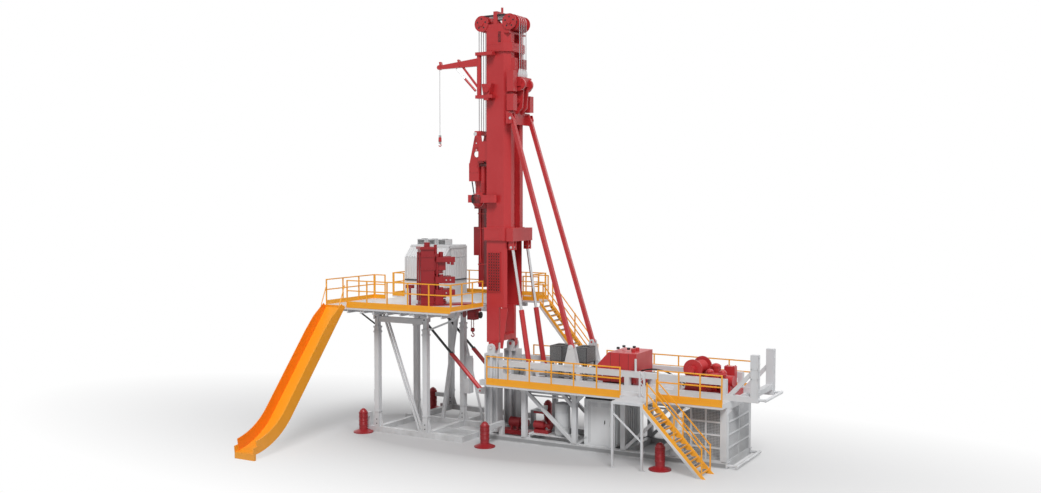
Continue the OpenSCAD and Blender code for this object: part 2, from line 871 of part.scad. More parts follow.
// Screw jacks with ringed barrels on eight-sided feet
module jacks() {
    foot_t = 60;
    cone_h = 130;
    barrel_d = 340;
    ring_d = jack_sleeve;
    ring_h = 50;
    color(rig_red)
        for (place = jack_places)
            translate([place.x, place.y, 0]) {
                rotate([0, 0, 22.5])
                    cylinder(h = foot_t, d = jack_foot / cos(22.5), $fn = 8);
                translate([0, 0, foot_t - 1])
                    cylinder(h = cone_h, d1 = jack_foot * 0.75, d2 = barrel_d * 0.8);
                cylinder(h = jack_h - 150, d = barrel_d * 0.75);
                translate([0, 0, jack_h * 0.3])
                    cylinder(h = jack_h * 0.55, d = barrel_d);
                for (i = [0 : 3])
                    translate([0, 0, jack_h * 0.3 + i * (jack_h * 0.55 - ring_h) / 3])
                        cylinder(h = ring_h, d = ring_d);
                translate([0, 0, jack_h - 151])
                    cylinder(h = 151, d1 = barrel_d * 0.75, d2 = barrel_d * 0.35);
            }
}

// Distance from the centre line to the outer face of the ground beam beside a jack
function jack_edge(place) = place.x > 0 ? skid_half : (place.y < 0 ? -leg_y[0] : leg_y[2]) + leg_side / 2;

// Arms that carry the jacks on the ground beams, on a riser where no post stands
module jack_arms() {
    arm = 200;
    low = 700;
    color(steel_white)
        for (place = jack_places)
            if (place == jack_places[3]) {
                beam = leg_x[0] - leg_side / 2;
                block(
                    [place.x + jack_sleeve / 2 + fit, place.y - arm / 2, low],
                    [beam + arm, place.y + arm / 2, low + arm]);
                block([beam, place.y - arm / 2, base_beam], [beam + arm, place.y + arm / 2, low + 1]);
            } else {
                mirror([0, place.y < 0 ? 1 : 0, 0]) {
                    edge = jack_edge(place);
                    at_post = place.x == frame_x[3];
                    block(
                        [place.x - arm / 2, edge + (at_post ? 0 : -1), low],
                        [place.x + arm / 2, abs(place.y) - jack_sleeve / 2 - fit, low + arm]);
                    if (!at_post)
                        block([place.x - arm / 2, edge - arm, base_beam], [place.x + arm / 2, edge, low + arm]);
                }
            }
}

landing_near = -deck_half - landing_w;
deck_stair_head = [landing_x + landing_l, landing_near + 40, deck_z - 5];
deck_stair_foot = [landing_x + landing_l + deck_stair_run, landing_near + 40, 0];
floor_stair_head_point = [floor_stair_head - floor_rear, floor_stair_y, floor_z];
floor_stair_foot_point = [floor_stair_head - floor_rear + floor_stair_run, floor_stair_y, deck_z];

// Landing beside the deck on two legs, and the two platforms of the far stair
module stair_landings() {
    leg = 90;
    t = 100;
    color(steel_white) {
        block([landing_x, landing_near, deck_z - t], [landing_x + landing_l - fit, -deck_half - fit, deck_z]);
        for (x = [landing_x, landing_x + landing_l - leg - fit])
            block([x, landing_near, 0], [x + leg, landing_near + leg, deck_z - t + 1]);
        block(
            [-floor_rear + fit, floor_stair_y, floor_z - t],
            [floor_stair_head_point.x - fit, floor_stair_y + stair_w, floor_z]);
        block(
            [floor_stair_foot_point.x - 500, deck_half + fit, deck_z - t],
            [floor_stair_foot_point.x + 900, floor_stair_y + stair_w, deck_z - fit]);
    }
}

module stair_stringers() {
    color(safety_yellow) {
        stringers(deck_stair_head, deck_stair_foot);
        stringers(floor_stair_head_point, floor_stair_foot_point);
    }
}

module stair_treads() {
    color(steel_white) {
        treads(deck_stair_head, deck_stair_foot);
        treads(floor_stair_head_point, floor_stair_foot_point);
    }
}

module stair_handrails() {
    color(safety_yellow) {
        stair_rails(deck_stair_head, deck_stair_foot);
        stair_rails(floor_stair_head_point, floor_stair_foot_point);
    }
}

rail_in = rail_tube / 2;
corner = rail_tube + fit;

module deck_railing() {
    near = -deck_half + rail_in;
    far = deck_half - rail_in;
    rear = skid_rear - rail_in;
    color(safety_yellow) {
        rail_panel([deck_front + rail_in, near, deck_z], [landing_x - 250, near, deck_z]);
        rail_panel([landing_x + landing_l + 60, near, deck_z], [rear, near, deck_z]);
        rail_panel([floor_stair_foot_point.x + 900 + rail_in, far, deck_z], [rear, far, deck_z]);
        rail_panel([deck_front + rail_in, far, deck_z], [floor_stair_foot_point.x - 560, far, deck_z]);
    }
}

// Ground frame under the drill floor's legs
module floor_base() {
    rear = -floor_rear - 120;
    front = leg_x[0] - leg_side / 2 - 500;
    tray_y = leg_y[0] + leg_side / 2 + 1250;
    tray_t = 60;
    tray_x = leg_x[1] + leg_side / 2 + fit;
    tray_near = leg_y[0] + leg_side / 2 + fit;
    color(steel_white) {
        for (y = leg_y)
            block([front, y - leg_side / 2, 0], [rear, y + leg_side / 2, base_beam]);
        difference() {
            block([tray_x, tray_near, 0], [rear, tray_y, base_beam]);
            block([tray_x + tray_t, tray_near + tray_t, tray_t], [rear - tray_t, tray_y - tray_t, base_beam + 1]);
        }
        for (x = leg_x)
            for (i = [0 : 1])
                block(
                    [x - leg_side / 2, leg_y[i] + leg_side / 2 + fit, 0],
                    [x + leg_side / 2, leg_y[i + 1] - leg_side / 2 - fit, base_beam]);
    }
}

// Telescoping box legs, each with a sleeve, an inner leg and a head plate
module floor_legs() {
    under = floor_z - floor_plate_t - floor_beam_h;
    color(steel_white)
        for (x = leg_x)
            for (y = leg_y) {
                block([x - leg_side / 2, y - leg_side / 2, base_beam], [x + leg_side / 2, y + leg_side / 2, sleeve_z]);
                block(
                    [x - leg_inner / 2, y - leg_inner / 2, sleeve_z - 1],
                    [x + leg_inner / 2, y + leg_inner / 2, under]);
            }
}

// Slanting stays of the leg rows: a pair of tubes in the near row, one tube the other way in the middle row
module floor_braces() {
    tube = 80;
    pair = 170;
    head = 330;
    toe = 380;
    lean = 860;
    under = floor_z - floor_plate_t - floor_beam_h - fit;
    color(steel_white) {
        for (dx = [0, pair])
            stay([leg_x[0] + head + dx, leg_y[0], under], [leg_x[1] - toe + dx, leg_y[0], base_beam + fit], tube);
        stay(
            [leg_x[1] - head, leg_y[1], under],
            [leg_x[1] - head - lean, leg_y[1], base_beam + fit], 2 * tube);
    }
}

// Square tube in a leg row, cut level at both ends
module stay(head, toe, tube) {
    half = tube / 2 * norm([head.x - toe.x, head.z - toe.z]) / (head.z - toe.z);
    side_plate(head.y - tube / 2, head.y + tube / 2)
        polygon([
            [head.x - half, head.z], [head.x + half, head.z],
            [toe.x + half, toe.z], [toe.x - half, toe.z]]);
}

lift_under = 260;
lift_foot = [-lift_foot_x, lift_y, lift_foot_z];
lift_head = [-lift_head_x, lift_y, floor_z - floor_plate_t - floor_beam_h - lift_under];
lift_eye = lift_d;
lift_cheek = 45;
lift_side = lift_eye / 2 + running;

// Two cylinders that raise the drill floor, from the pedestals to a floor beam
module lift_cylinders() {
    turn = part_way(lift_foot, lift_head, 0.5);
    color(rig_red)
        both_sides() {
            rod(lift_foot, turn, lift_d);
            rod(turn, lift_head, lift_d * 0.6);
            for (end = [lift_foot, lift_head]) {
                cross_pin(end.x, end.z, lift_d * 0.9, lift_y - lift_eye / 2, lift_y + lift_eye / 2);
                cross_pin(
                    end.x, end.z, foot_pin_d,
                    lift_y - lift_side - lift_cheek, lift_y + lift_side + lift_cheek);
            }
        }
}

ram_foot = [ram_foot_x, ram_y, ram_foot_z];
ram_head = [ram_head_x, ram_y, ram_head_z];

module cylinder_barrels() {
    eye = 200;
    color(rig_red)
        both_sides() {
            rod(ram_foot, part_way(ram_foot, ram_head, 0.48), ram_d);
            cross_pin(ram_foot.x, ram_foot.z, eye, ram_y - ram_d / 2 - 5, ram_y + ram_d / 2 + 5);
            cross_pin(ram_foot.x, ram_foot.z, foot_pin_d, ram_y - ram_d / 2 - 66, ram_y + ram_d / 2 + 66);
        }
}

module cylinder_rods() {
    eye = 190;
    color(bright_steel)
        both_sides() {
            rod(part_way(ram_foot, ram_head, 0.48), part_way(ram_foot, ram_head, 0.985), ram_rod_d);
            cross_pin(ram_head.x, ram_head.z, eye, ram_y - 80, ram_y + 80);
            cross_pin(ram_head.x, ram_head.z, 90, ram_y - 130, ram_y + 130);
        }
}

// Cheeks on the girders and the deck that hold the feet of the braces and the raising cylinders
module foot_brackets() {
    cheek = 45;
    brace_side_y = brace_tube / 2 + brace_room;
    ram_side_y = ram_d / 2 + 5 + running;
    color(steel_white)
        both_sides() {
            for (y = [brace_foot_y - brace_side_y - cheek, brace_foot_y + brace_side_y])
                bracket_cheek(brace_foot, y, cheek, girder_z, 320, 130);
            for (y = [ram_y - ram_side_y - cheek, ram_y + ram_side_y])
                bracket_cheek(ram_foot, y, cheek, deck_z, 300, 130);
        }
}

// Cheek plate with a pin hole, from a seat up to a round head
module bracket_cheek(pin, y, t, seat, half_foot, head_r) {
    difference() {
        side_plate(y, y + t)
            union() {
                translate([pin.x, pin.z])
                    circle(r = head_r);
                polygon([
                    [pin.x - half_foot, seat], [pin.x + half_foot, seat],
                    [pin.x + head_r, pin.z], [pin.x - head_r, pin.z]]);
            }
        cross_pin(pin.x, pin.z, foot_pin_d + 2 * fit, y - 1, y + t + 1);
    }
}

// Main beams below the drill floor
module floor_beams() {
    low = floor_z - floor_plate_t - floor_beam_h;
    high = floor_z - floor_plate_t;
    w = 220;
    color(steel_white) {
        for (y = leg_y) {
            in_gate = y > gate_y[0] && y < gate_y[1];
            front = -floor_front + 100 + (in_gate ? gate_depth : 0);
            block([front, y - w / 2, low], [-floor_rear - mast_recess - 50, y + w / 2, high]);
        }
        for (x = concat(leg_x, [-lift_head_x]))
            for (i = [0 : 1])
                block([x - w / 2, leg_y[i] + w / 2 + fit, low], [x + w / 2, leg_y[i + 1] - w / 2 - fit, high]);
        both_sides()
            for (y = [lift_y - lift_side - lift_cheek, lift_y + lift_side])
                difference() {
                    side_plate(y, y + lift_cheek)
                        union() {
                            translate([lift_head.x, lift_head.z])
                                circle(r = w / 2);
                            translate([lift_head.x - w / 2, lift_head.z])
                                square([w, low + 1 - lift_head.z]);
                        }
                    cross_pin(lift_head.x, lift_head.z, foot_pin_d + 2 * fit, y - 1, y + lift_cheek + 1);
                }
        for (x = leg_x) {
            block([x - w / 2, -floor_near + 60, low + 100], [x + w / 2, leg_y[0] - w / 2 - fit, high]);
            block([x - w / 2, leg_y[2] + w / 2 + fit, low + 100], [x + w / 2, floor_far - 60, high]);
        }
    }
}

// Drill floor with the pipe gate, the mast's recess and the well opening
module floor_plate() {
    color(steel_white)
        difference() {
            translate([0, 0, floor_z - floor_plate_t])
                linear_extrude(floor_plate_t)
                    polygon([
                        [-floor_front, -floor_near], [-floor_rear, -floor_near],
                        [-floor_rear, -recess_half], [-floor_rear - mast_recess, -recess_half],
                        [-floor_rear - mast_recess, recess_half], [-floor_rear, recess_half],
                        [-floor_rear, floor_far], [-floor_front, floor_far],
                        [-floor_front, gate_y[1]], [-floor_front + gate_depth, gate_y[1]],
                        [-floor_front + gate_depth, gate_y[0]], [-floor_front, gate_y[0]]]);
            translate([well_x, 0, floor_z - floor_plate_t - 1])
                cylinder(h = floor_plate_t + 2, d = well_d);
        }
}

module floor_railing() {
    near = -floor_near + rail_in;
    far = floor_far - rail_in;
    front = -floor_front + rail_in;
    rear = -floor_rear - rail_in;
    slide_gap = slide_w + 130;
    gate_x = front + gate_depth - rail_in;
    color(safety_yellow) {
        rail_panel([front + slide_gap, near, floor_z], [rear, near, floor_z]);
        rail_panel([rear, near + corner, floor_z], [rear, -recess_half - rail_in, floor_z]);
        rail_panel([front, near, floor_z], [front, gate_y[0] - rail_in, floor_z]);
        rail_panel([front + corner, gate_y[0] - rail_in, floor_z], [gate_x, gate_y[0] - rail_in, floor_z]);
        rail_panel([front + corner, gate_y[1] + rail_in, floor_z], [gate_x, gate_y[1] + rail_in, floor_z]);
        rail_panel([front, gate_y[1] + rail_in, floor_z], [front, far, floor_z]);
        rail_panel([front + corner, far, floor_z], [rear, far, floor_z]);
        rail_panel([rear, recess_half + rail_in, floor_z], [rear, floor_stair_y - rail_in, floor_z]);
        rail_panel([rear, floor_stair_y + stair_w + rail_in, floor_z], [rear, far - corner, floor_z]);
        rail_panel(
            [rear + corner + 30, floor_stair_y + stair_w - rail_in, floor_z],
            [floor_stair_head_point.x - 90, floor_stair_y + stair_w - rail_in, floor_z]);
        rail_panel(
            [rear + corner + 30, floor_stair_y + rail_in, floor_z],
            [floor_stair_head_point.x - 90, floor_stair_y + rail_in, floor_z]);
    }
}

slide_x = -floor_front + 30;
slide_head = [-floor_near - fit, floor_z - 100];
slide_steps = 12;
// Height of the slide's sheet above the ground at the end of the bend
slide_foot_z = 240;
slide_drop = slide_bend * (cos(slide_run_out) - cos(slide_slope));
slide_straight = (slide_head.y - slide_foot_z - slide_drop) / sin(slide_slope);
slide_knee = slide_head + slide_straight * [-cos(slide_slope), -sin(slide_slope)];
slide_centre = slide_knee + slide_bend * [-sin(slide_slope), cos(slide_slope)];

// Point of the slide's sheet in Y and Z, at a slope within the bend, raised square to the sheet
function bend_point(slope, raise) = slide_centre + (slide_bend - raise) * [sin(slope), -cos(slope)];
function slide_line(raise) = concat(
    [slide_head + raise * [-sin(slide_slope), cos(slide_slope)]],
    [for (i = [0 : slide_steps])
        bend_point(slide_slope + (slide_run_out - slide_slope) * i / slide_steps, raise)]);

slide_foot = bend_point(slide_run_out, 0);

// Escape slide of sheet between two walls, hooked on the floor's edge and set on a lip on the ground
module slide() {
    color(safety_yellow) {
        end_plate(slide_x, slide_x + slide_w)
            slide_band(0, slide_t);
        for (x = [slide_x, slide_x + slide_w - slide_t])
            end_plate(x, x + slide_t)
                slide_band(0, slide_wall_h);
        block([slide_x, slide_head.x - 60, slide_head.y - 60], [slide_x + slide_w, slide_head.x, floor_z]);
        block([slide_x, slide_foot.x, 0], [slide_x + slide_w, slide_foot.x + 120, slide_foot.y + slide_t / 2]);
    }
}

// Band of the slide's outline between two heights above its sheet
module slide_band(low, high) {
    upper = slide_line(high);
    count = len(upper);
    polygon(concat(slide_line(low), [for (i = [1 : count]) upper[count - i]]));
}

window_edge = 350;

// Outline of the cabin in Y and Z, with its slanted near corner
module cabin_outline(inset) {
    polygon([
        [cabin_y + inset, floor_z], [cabin_y + cabin_w - inset, floor_z],
        [cabin_y + cabin_w - inset, floor_z + cabin_h], [cabin_y + cabin_slant + inset * 0.4, floor_z + cabin_h],
        [cabin_y + inset, floor_z + cabin_h - cabin_slant - inset * 0.4]]);
}

module cabin_walls() {
    sill = 950;
    head = 1750;
    door_w = 900;
    color(steel_white)
        difference() {
            end_plate(-cabin_x, -cabin_x + cabin_l)
                cabin_outline(0);
            end_plate(-cabin_x + cabin_wall, -cabin_x + cabin_l - cabin_wall)
                translate([0, -1])
                    cabin_outline(cabin_wall);
            block(
                [-cabin_x - 1, cabin_y + window_edge, floor_z + sill],
                [-cabin_x + cabin_wall + 1, cabin_y + cabin_w - window_edge, floor_z + head]);
            block(
                [-cabin_x + cabin_l - door_w - 2 * cabin_wall, cabin_y + cabin_w - cabin_wall - 1, floor_z + 60],
                [-cabin_x + cabin_l - 2 * cabin_wall, cabin_y + cabin_w + 1, floor_z + 2060]);
        }
}

module cabin_roof() {
    color(steel_white)
        block(
            [-cabin_x, cabin_y + cabin_slant, floor_z + cabin_h + fit],
            [-cabin_x + cabin_l, cabin_y + cabin_w, floor_z + cabin_h + cabin_roof_t]);
}

module cabin_glass() {
    sill = 950;
    head = 1750;
    pane = 20;
    color([0.3, 0.36, 0.4])
        block(
            [-cabin_x + pane, cabin_y + window_edge + fit, floor_z + sill + fit],
            [-cabin_x + 2 * pane, cabin_y + cabin_w - window_edge - fit, floor_z + head - fit]);
}

module cabin_coolers() {
    size = [480, 620, 300];
    color(steel_white)
        for (i = [0 : 2])
            translate([-cabin_x + 300 + i * 650, cabin_y + cabin_slant + 150, floor_z + cabin_h + cabin_roof_t])
                cube(size);
}

column_x = -2900;
column_y = -2000;
track_l = 2250;
track_t = 60;
wrench_angle = atan2(-column_y, well_x - column_x);

// Track on the floor and the column at its end
module roughneck_column() {
    column_w = 640;
    column_d = 640;
    column_h = 2750;
    back = 420;
    color(rig_red)
        translate([column_x, column_y, floor_z])
            rotate([0, 0, wrench_angle]) {
                block([-back - 80, -column_w / 2 - 80, 0], [track_l, column_w / 2 + 80, track_t]);
                block([-back, -column_w / 2, track_t - 1], [column_d - back, column_w / 2, column_h]);
                block([-back - 60, -column_w / 2 - 60, column_h - 120], [column_d - back, column_w / 2 + 60, column_h]);
            }
}

// Spinner and wrench head on its carriage, moving along the track to the well
module roughneck_wrench() {
    jaw_gap = 520;
    jaw_w = 190;
    jaw_l = 560;
    jaw_h = 300;
    start = 240;
    frame_d = 240;
    body_l = 620;
    levels = [450, 1050];
    color(rig_red)
        translate([column_x, column_y, floor_z])
            rotate([0, 0, wrench_angle]) {
                block([start, -430, track_t + fit], [body_l, 430, levels[0] + 1]);
                block([start, -170, levels[0]], [start + frame_d, 170, 2420]);
                for (z = levels) {
                    block([start, -430, z], [body_l, 430, z + jaw_h]);
                    for (side = [-1, 1])
                        block(
                            [body_l - 1, side > 0 ? jaw_gap / 2 : -jaw_gap / 2 - jaw_w, z],
                            [body_l + jaw_l, side > 0 ? jaw_gap / 2 + jaw_w : -jaw_gap / 2, z + jaw_h]);
                }
                block([start, -260, 1650], [body_l + 160, 260, 2080]);
                translate([start + frame_d / 2, 0, 2419])
                    cylinder(h = 420, d = 150);
                translate([body_l, 0, 2079])
                    cylinder(h = 420, d = 220);
            }
}

// Travelling hoist below the drill floor beside the mast
module gate_hoist() {
    top = floor_z - floor_plate_t - fit;
    color(rig_red) {
        block([-floor_rear - mast_recess - 900, -900, top - 220], [-floor_rear - mast_recess - 60, -700, top]);
        block([-floor_rear - mast_recess - 650, -1000, top - 620], [-floor_rear - mast_recess - 250, -600, top - 219]);
    }
}

// Outline of the mast in X and Y, with chamfered rear corners
module mast_outline(grow) {
    polygon([
        [-mast_front - grow, -mast_half - grow], [mast_rear - mast_chamfer + grow * 0.4, -mast_half - grow],
        [mast_rear + grow, -mast_half + mast_chamfer - grow * 0.4],
        [mast_rear + grow, mast_half - mast_chamfer + grow * 0.4],
        [mast_rear - mast_chamfer + grow * 0.4, mast_half + grow], [-mast_front - grow, mast_half + grow]]);
}

module mast_lower() {
    front_plate = 100;
    foot_r = 180;
    color(rig_red) {
        translate([0, 0, leg_top_z])
            linear_extrude(mast_joint_z - leg_top_z)
                difference() {
                    mast_outline(0);
                    translate([-mast_front + front_plate, -mast_half + mast_wall])
                        square([mast_front + mast_rear + 1, 2 * (mast_half - mast_wall)]);
                }
        both_sides() {
            block([-mast_front, mast_half - leg_thick, pin_z + 210], [leg_rear, mast_half, leg_top_z + 1]);
            cross_pin(0, pin_z, 2 * foot_r, pedestal_in + 100 + running, pedestal_out - 100 - running);
            block(
                [-foot_r, pedestal_in + 100 + running, pin_z],
                [foot_r, pedestal_out - 100 - running, pin_z + 240]);
            cross_pin(0, pin_z, pin_d, pedestal_in, pedestal_out);
        }
        block([-100, -mast_half + leg_thick - 1, pin_z + 260], [leg_rear, mast_half - leg_thick + 1, pin_z + 520]);
    }
}

module mast_upper() {
    wall = 80;
    color(rig_red)
        translate([0, 0, mast_joint_z])
            linear_extrude(mast_top_z - mast_joint_z)
                difference() {
                    mast_outline(0);
                    translate([mast_rear - channel_depth, -channel_half])
                        square([channel_depth + 1, 2 * channel_half]);
                    translate([-mast_front + wall, -mast_half + wall])
                        square([mast_front + mast_rear - channel_depth - 2 * wall, 2 * (mast_half - wall)]);
                }
}

// Collar at the joint of the two sections with lugs for the raising cylinders, and a band near the top
module mast_collar() {
    lug_t = 50;
    band_h = 400;
    color(rig_red) {
        translate([0, 0, mast_top_z - 430 - band_h])
            linear_extrude(band_h)
                difference() {
                    mast_outline(collar_t);
                    mast_outline(fit);
                    translate([-mast_front - 2 * collar_t, -2 * mast_half])
                        square([2 * collar_t + 60, 4 * mast_half]);
                }
        translate([0, 0, mast_joint_z + 50])
            linear_extrude(collar_h)
                difference() {
                    mast_outline(collar_t);
                    mast_outline(fit);
                }
        both_sides()
            difference() {
                block(
                    [ram_head_x - 130, ram_y - 80 - lug_t - running, mast_joint_z + 200],
                    [ram_head_x + 130, ram_y + 80 + running + lug_t, mast_joint_z + 350]);
                translate([0, 0, mast_joint_z - 2000])
                    linear_extrude(4000)
                        mast_outline(fit);
            }
        both_sides()
            for (y = [ram_y - 80 - lug_t - running, ram_y + 80 + running])
                difference() {
                    side_plate(y, y + lug_t)
                        polygon([
                            [ram_head_x - 130, ram_head_z - 120], [ram_head_x + 130, ram_head_z - 120],
                            [ram_head_x + 130, mast_joint_z + 300], [ram_head_x - 130, mast_joint_z + 300]]);
                    cross_pin(ram_head_x, ram_head_z, 90 + 2 * fit, y - 1, y + lug_t + 1);
                    translate([0, 0, mast_joint_z - 2000])
                        linear_extrude(4000)
                            mast_outline(fit);
                }
    }
}

module mast_rails() {
    rail_w = 90;
    color(bright_steel)
        both_sides()
            block(
                [-mast_front - rail_w, 560, mast_joint_z + 50 + collar_h + fit],
                [-mast_front, 560 + rail_w, mast_top_z - 300]);
}

module crown_frame() {
    base = 80;
    cheek_t = 80;
    boss = 250;
    color(rig_red) {
        block([-mast_front, -mast_half, mast_top_z], [mast_rear, mast_half, mast_top_z + base]);
        both_sides() {
            side_plate(cheek_half, cheek_half + cheek_t)
                union() {
                    translate([-sheave_front, sheave_z])
                        circle(r = boss);
                    translate([sheave_rear, sheave_z])
                        circle(r = boss);
                    polygon([
                        [-mast_front, mast_top_z + base - 1], [mast_rear - 60, mast_top_z + base - 1],
                        [sheave_rear + boss - 20, sheave_z], [sheave_rear, sheave_z + boss - 2],
                        [sheave_rear - boss, sheave_z - 60], [-sheave_front + boss, sheave_z - 60],
                        [-sheave_front, sheave_z + boss - 2], [-sheave_front - boss + 20, sheave_z]]);
                }
            block([-150, cheek_half, sheave_z - 100], [50, cheek_half + cheek_t, sheave_z + 520]);
        }
        for (x = [-sheave_front, sheave_rear])
            cross_pin(x, sheave_z, axle_d, -cheek_half - 1, cheek_half + 1);
        block([-150, -cheek_half - 1, sheave_z + 440], [50, cheek_half + 1, sheave_z + 520]);
        translate([-50, 0, sheave_z + 519])
            cylinder(h = 260, d = 110);
    }
}

// Cluster of grooved sheaves on one hub, along Y
module sheaves(x) {
    half = lines * line_pitch / 2;
    rim = 30;
    neck = sheave_r - groove_depth;
    translate([x, 0, sheave_z])
        rotate([90, 0, 0])
            rotate_extrude()
                polygon(concat(
                    [[axle_d / 2 + fit, half], [axle_d / 2 + fit, -half]],
                    [for (i = [0 : lines - 1])
                        let (mid = (i - (lines - 1) / 2) * line_pitch)
                            each [
                                [neck - 80, mid - line_pitch / 2 + (i == 0 ? 0 : 10)],
                                [neck - 80, mid - line_d - rim], [sheave_r, mid - line_d - rim],
                                [sheave_r, mid - line_d], [neck, mid - line_d / 2 - 2],
                                [neck, mid + line_d / 2 + 2], [sheave_r, mid + line_d],
                                [sheave_r, mid + line_d + rim], [neck - 80, mid + line_d + rim],
                                [neck - 80, mid + line_pitch / 2]]]));
}

module crown_sheaves_front() {
    color(dark_grey)
        sheaves(-sheave_front);
}

module crown_sheaves_rear() {
    color(dark_grey)
        sheaves(sheave_rear);
}

function line_y(i) = (i - (lines - 1) / 2) * line_pitch;

module hoist_lines() {
    color(bright_steel)
        for (i = [0 : lines - 1])
            translate([well_x, line_y(i), yoke_z + fit])
                cylinder(h = sheave_z - yoke_z - 2 * fit, d = line_d);
}

// Lines over the crown and down the rear to their anchors
module rear_lines() {
    color(bright_steel)
        for (i = [0 : lines - 1])
            translate([0, line_y(i), 0]) {
                translate([-sheave_front, 0, sheave_z])
                    rotate([90, -90, 0])
                        rotate_extrude(angle = 90)
                            translate([line_r, 0])
                                circle(d = line_d);
                rod([-sheave_front, 0, sheave_z + line_r], [sheave_rear, 0, sheave_z + line_r], line_d);
                translate([sheave_rear, 0, sheave_z])
                    rotate([90, 0, 0])
                        rotate_extrude(angle = 90)
                            translate([line_r, 0])
                                circle(d = line_d);
                translate([rear_line_x, 0, brace_top_z + anchor_rise])
                    cylinder(h = sheave_z - brace_top_z - anchor_rise, d = line_d);
            }
}

// Bracket on the mast's rear face that holds the braces, and the beam that anchors the lines
module rear_head() {
    low = brace_top_z - 250;
    anchor = brace_top_z + anchor_rise - fit;
    beam_h = 420;
    beam_half = 500;
    guide_h = 1300;
    boss_d = 360;
    color(rig_red) {
        block(
            [mast_rear + fit, -mast_half + mast_chamfer, low],
            [mast_rear + 120, mast_half - mast_chamfer, anchor - beam_h]);
        block([mast_rear + 100, -beam_half, anchor - beam_h], [rear_line_x + 180, beam_half, anchor]);
        for (y = [-260, 160])
            side_plate(y, y + 100)
                polygon([
                    [mast_rear + 60, low + 400], [mast_rear + 420, low + 760], [rear_line_x + 180, anchor - beam_h + 1],
                    [mast_rear + 60, anchor - beam_h + 1]]);
        both_sides()
            cross_pin(rear_line_x + 40, anchor - beam_h - 40, boss_d, beam_half - 200, beam_half - 40);
        both_sides()
            block(
                [mast_rear + fit, channel_half + 40, anchor - beam_h - 100],
                [mast_rear + 210, mast_half - mast_chamfer, anchor + guide_h - beam_h]);
        both_sides() {
            block([mast_rear + fit, 400, low], [mast_rear + 110, brace_top_y + 170, low + 560]);
            for (y = [brace_top_y - brace_tube / 2 - 45 - brace_room, brace_top_y + brace_tube / 2 + brace_room])
                difference() {
                    side_plate(y, y + 45)
                        polygon([
                            [mast_rear + 60, low], [brace_top_x + 60, low], [brace_top_x + 120, brace_top_z],
                            [brace_top_x + 60, low + 480], [mast_rear + 60, low + 480]]);
                    cross_pin(brace_top_x, brace_top_z, 90 + 2 * fit, y - 1, y + 46);
                }
        }
    }
}

brace_foot_y = girder_half - girder_w / 2;
brace_top = [brace_top_x, brace_top_y, brace_top_z];
brace_foot = [brace_foot_x, brace_foot_y, brace_foot_z];

module back_braces() {
    color(rig_red)
        both_sides() {
            bar(brace_top, brace_foot, brace_tube, brace_tube);
            cross_pin(brace_top_x, brace_top_z, brace_tube, brace_top_y - brace_tube / 2, brace_top_y + brace_tube / 2);
            cross_pin(brace_top_x, brace_top_z, 90, brace_top_y - 155, brace_top_y + 155);
            cross_pin(
                brace_foot_x, brace_foot_z, brace_tube,
                brace_foot_y - brace_tube / 2, brace_foot_y + brace_tube / 2);
            cross_pin(brace_foot_x, brace_foot_z, foot_pin_d, brace_foot_y - 155, brace_foot_y + 155);
        }
}

module jib_bracket() {
    plate = 150;
    half = 130;
    color(rig_red)
        for (z = [jib_low_z - plate - running, jib_top_z + running])
            difference() {
                block([-jib_x - half, -jib_y - half, z], [-mast_front + 500, -mast_half - fit, z + plate]);
                translate([-jib_x, -jib_y, z - 1])
                    cylinder(h = plate + 2, d = 90 + 2 * fit);
            }
}

// Slewing post with the boom, its strut and the tip, turned from straight ahead
module jib_boom() {
    boom_z = jib_top_z - 300;
    tip_drop = 150;
    color(rig_red)
        translate([-jib_x, -jib_y, 0])
            rotate([0, 0, jib_turn]) {
                translate([0, 0, jib_low_z])
                    cylinder(h = jib_top_z - jib_low_z, d = jib_post_d);
                translate([0, 0, jib_low_z - 120])
                    cylinder(h = jib_top_z - jib_low_z + 240, d = 90);
                side_plate(-85, 85)
                    polygon([
                        [0, boom_z + 200], [0, boom_z - 170], [-jib_reach, boom_z - tip_drop - 85],
                        [-jib_reach, boom_z - tip_drop + 85]]);
                bar([0, 0, jib_low_z + 300], [-jib_reach * 0.45, 0, boom_z - 60], 90, 90);
                cross_pin(-jib_reach, boom_z - tip_drop, 220, -95, 95);
            }
}

module jib_line() {
    boom_z = jib_top_z - 300;
    tip_drop = 150;
    color(bright_steel)
        translate([-jib_x, -jib_y, 0])
            rotate([0, 0, jib_turn])
                translate([-jib_reach, 0, 0]) {
                    translate([0, 0, hook_z + 400])
                        cylinder(h = boom_z - tip_drop - 110 - fit - hook_z - 400, d = 24);
                    translate([0, 0, hook_z])
                        cylinder(h = 401, d = 120);
                }
}

module top_drive_carriage() {
    plate_t = 70;
    color(rig_red) {
        block([well_x - 170, -carriage_half, yoke_z - 200], [well_x + 170, carriage_half, yoke_z]);
        both_sides() {
            difference() {
                side_plate(carriage_half - plate_t, carriage_half)
                    polygon([
                        [well_x - 150, yoke_z - 199], [well_x + 170, yoke_z - 199],
                        [well_x + 330, carriage_z], [well_x - 450, carriage_z]]);
                cross_pin(well_x - 70, carriage_z + 420, 300, carriage_half - plate_t - 1, carriage_half + 1);
            }
            block(
                [well_x + 150, carriage_half - plate_t, carriage_z + 100],
                [-mast_front - 90 - running, carriage_half + 190, carriage_z + 1000]);
        }
    }
}

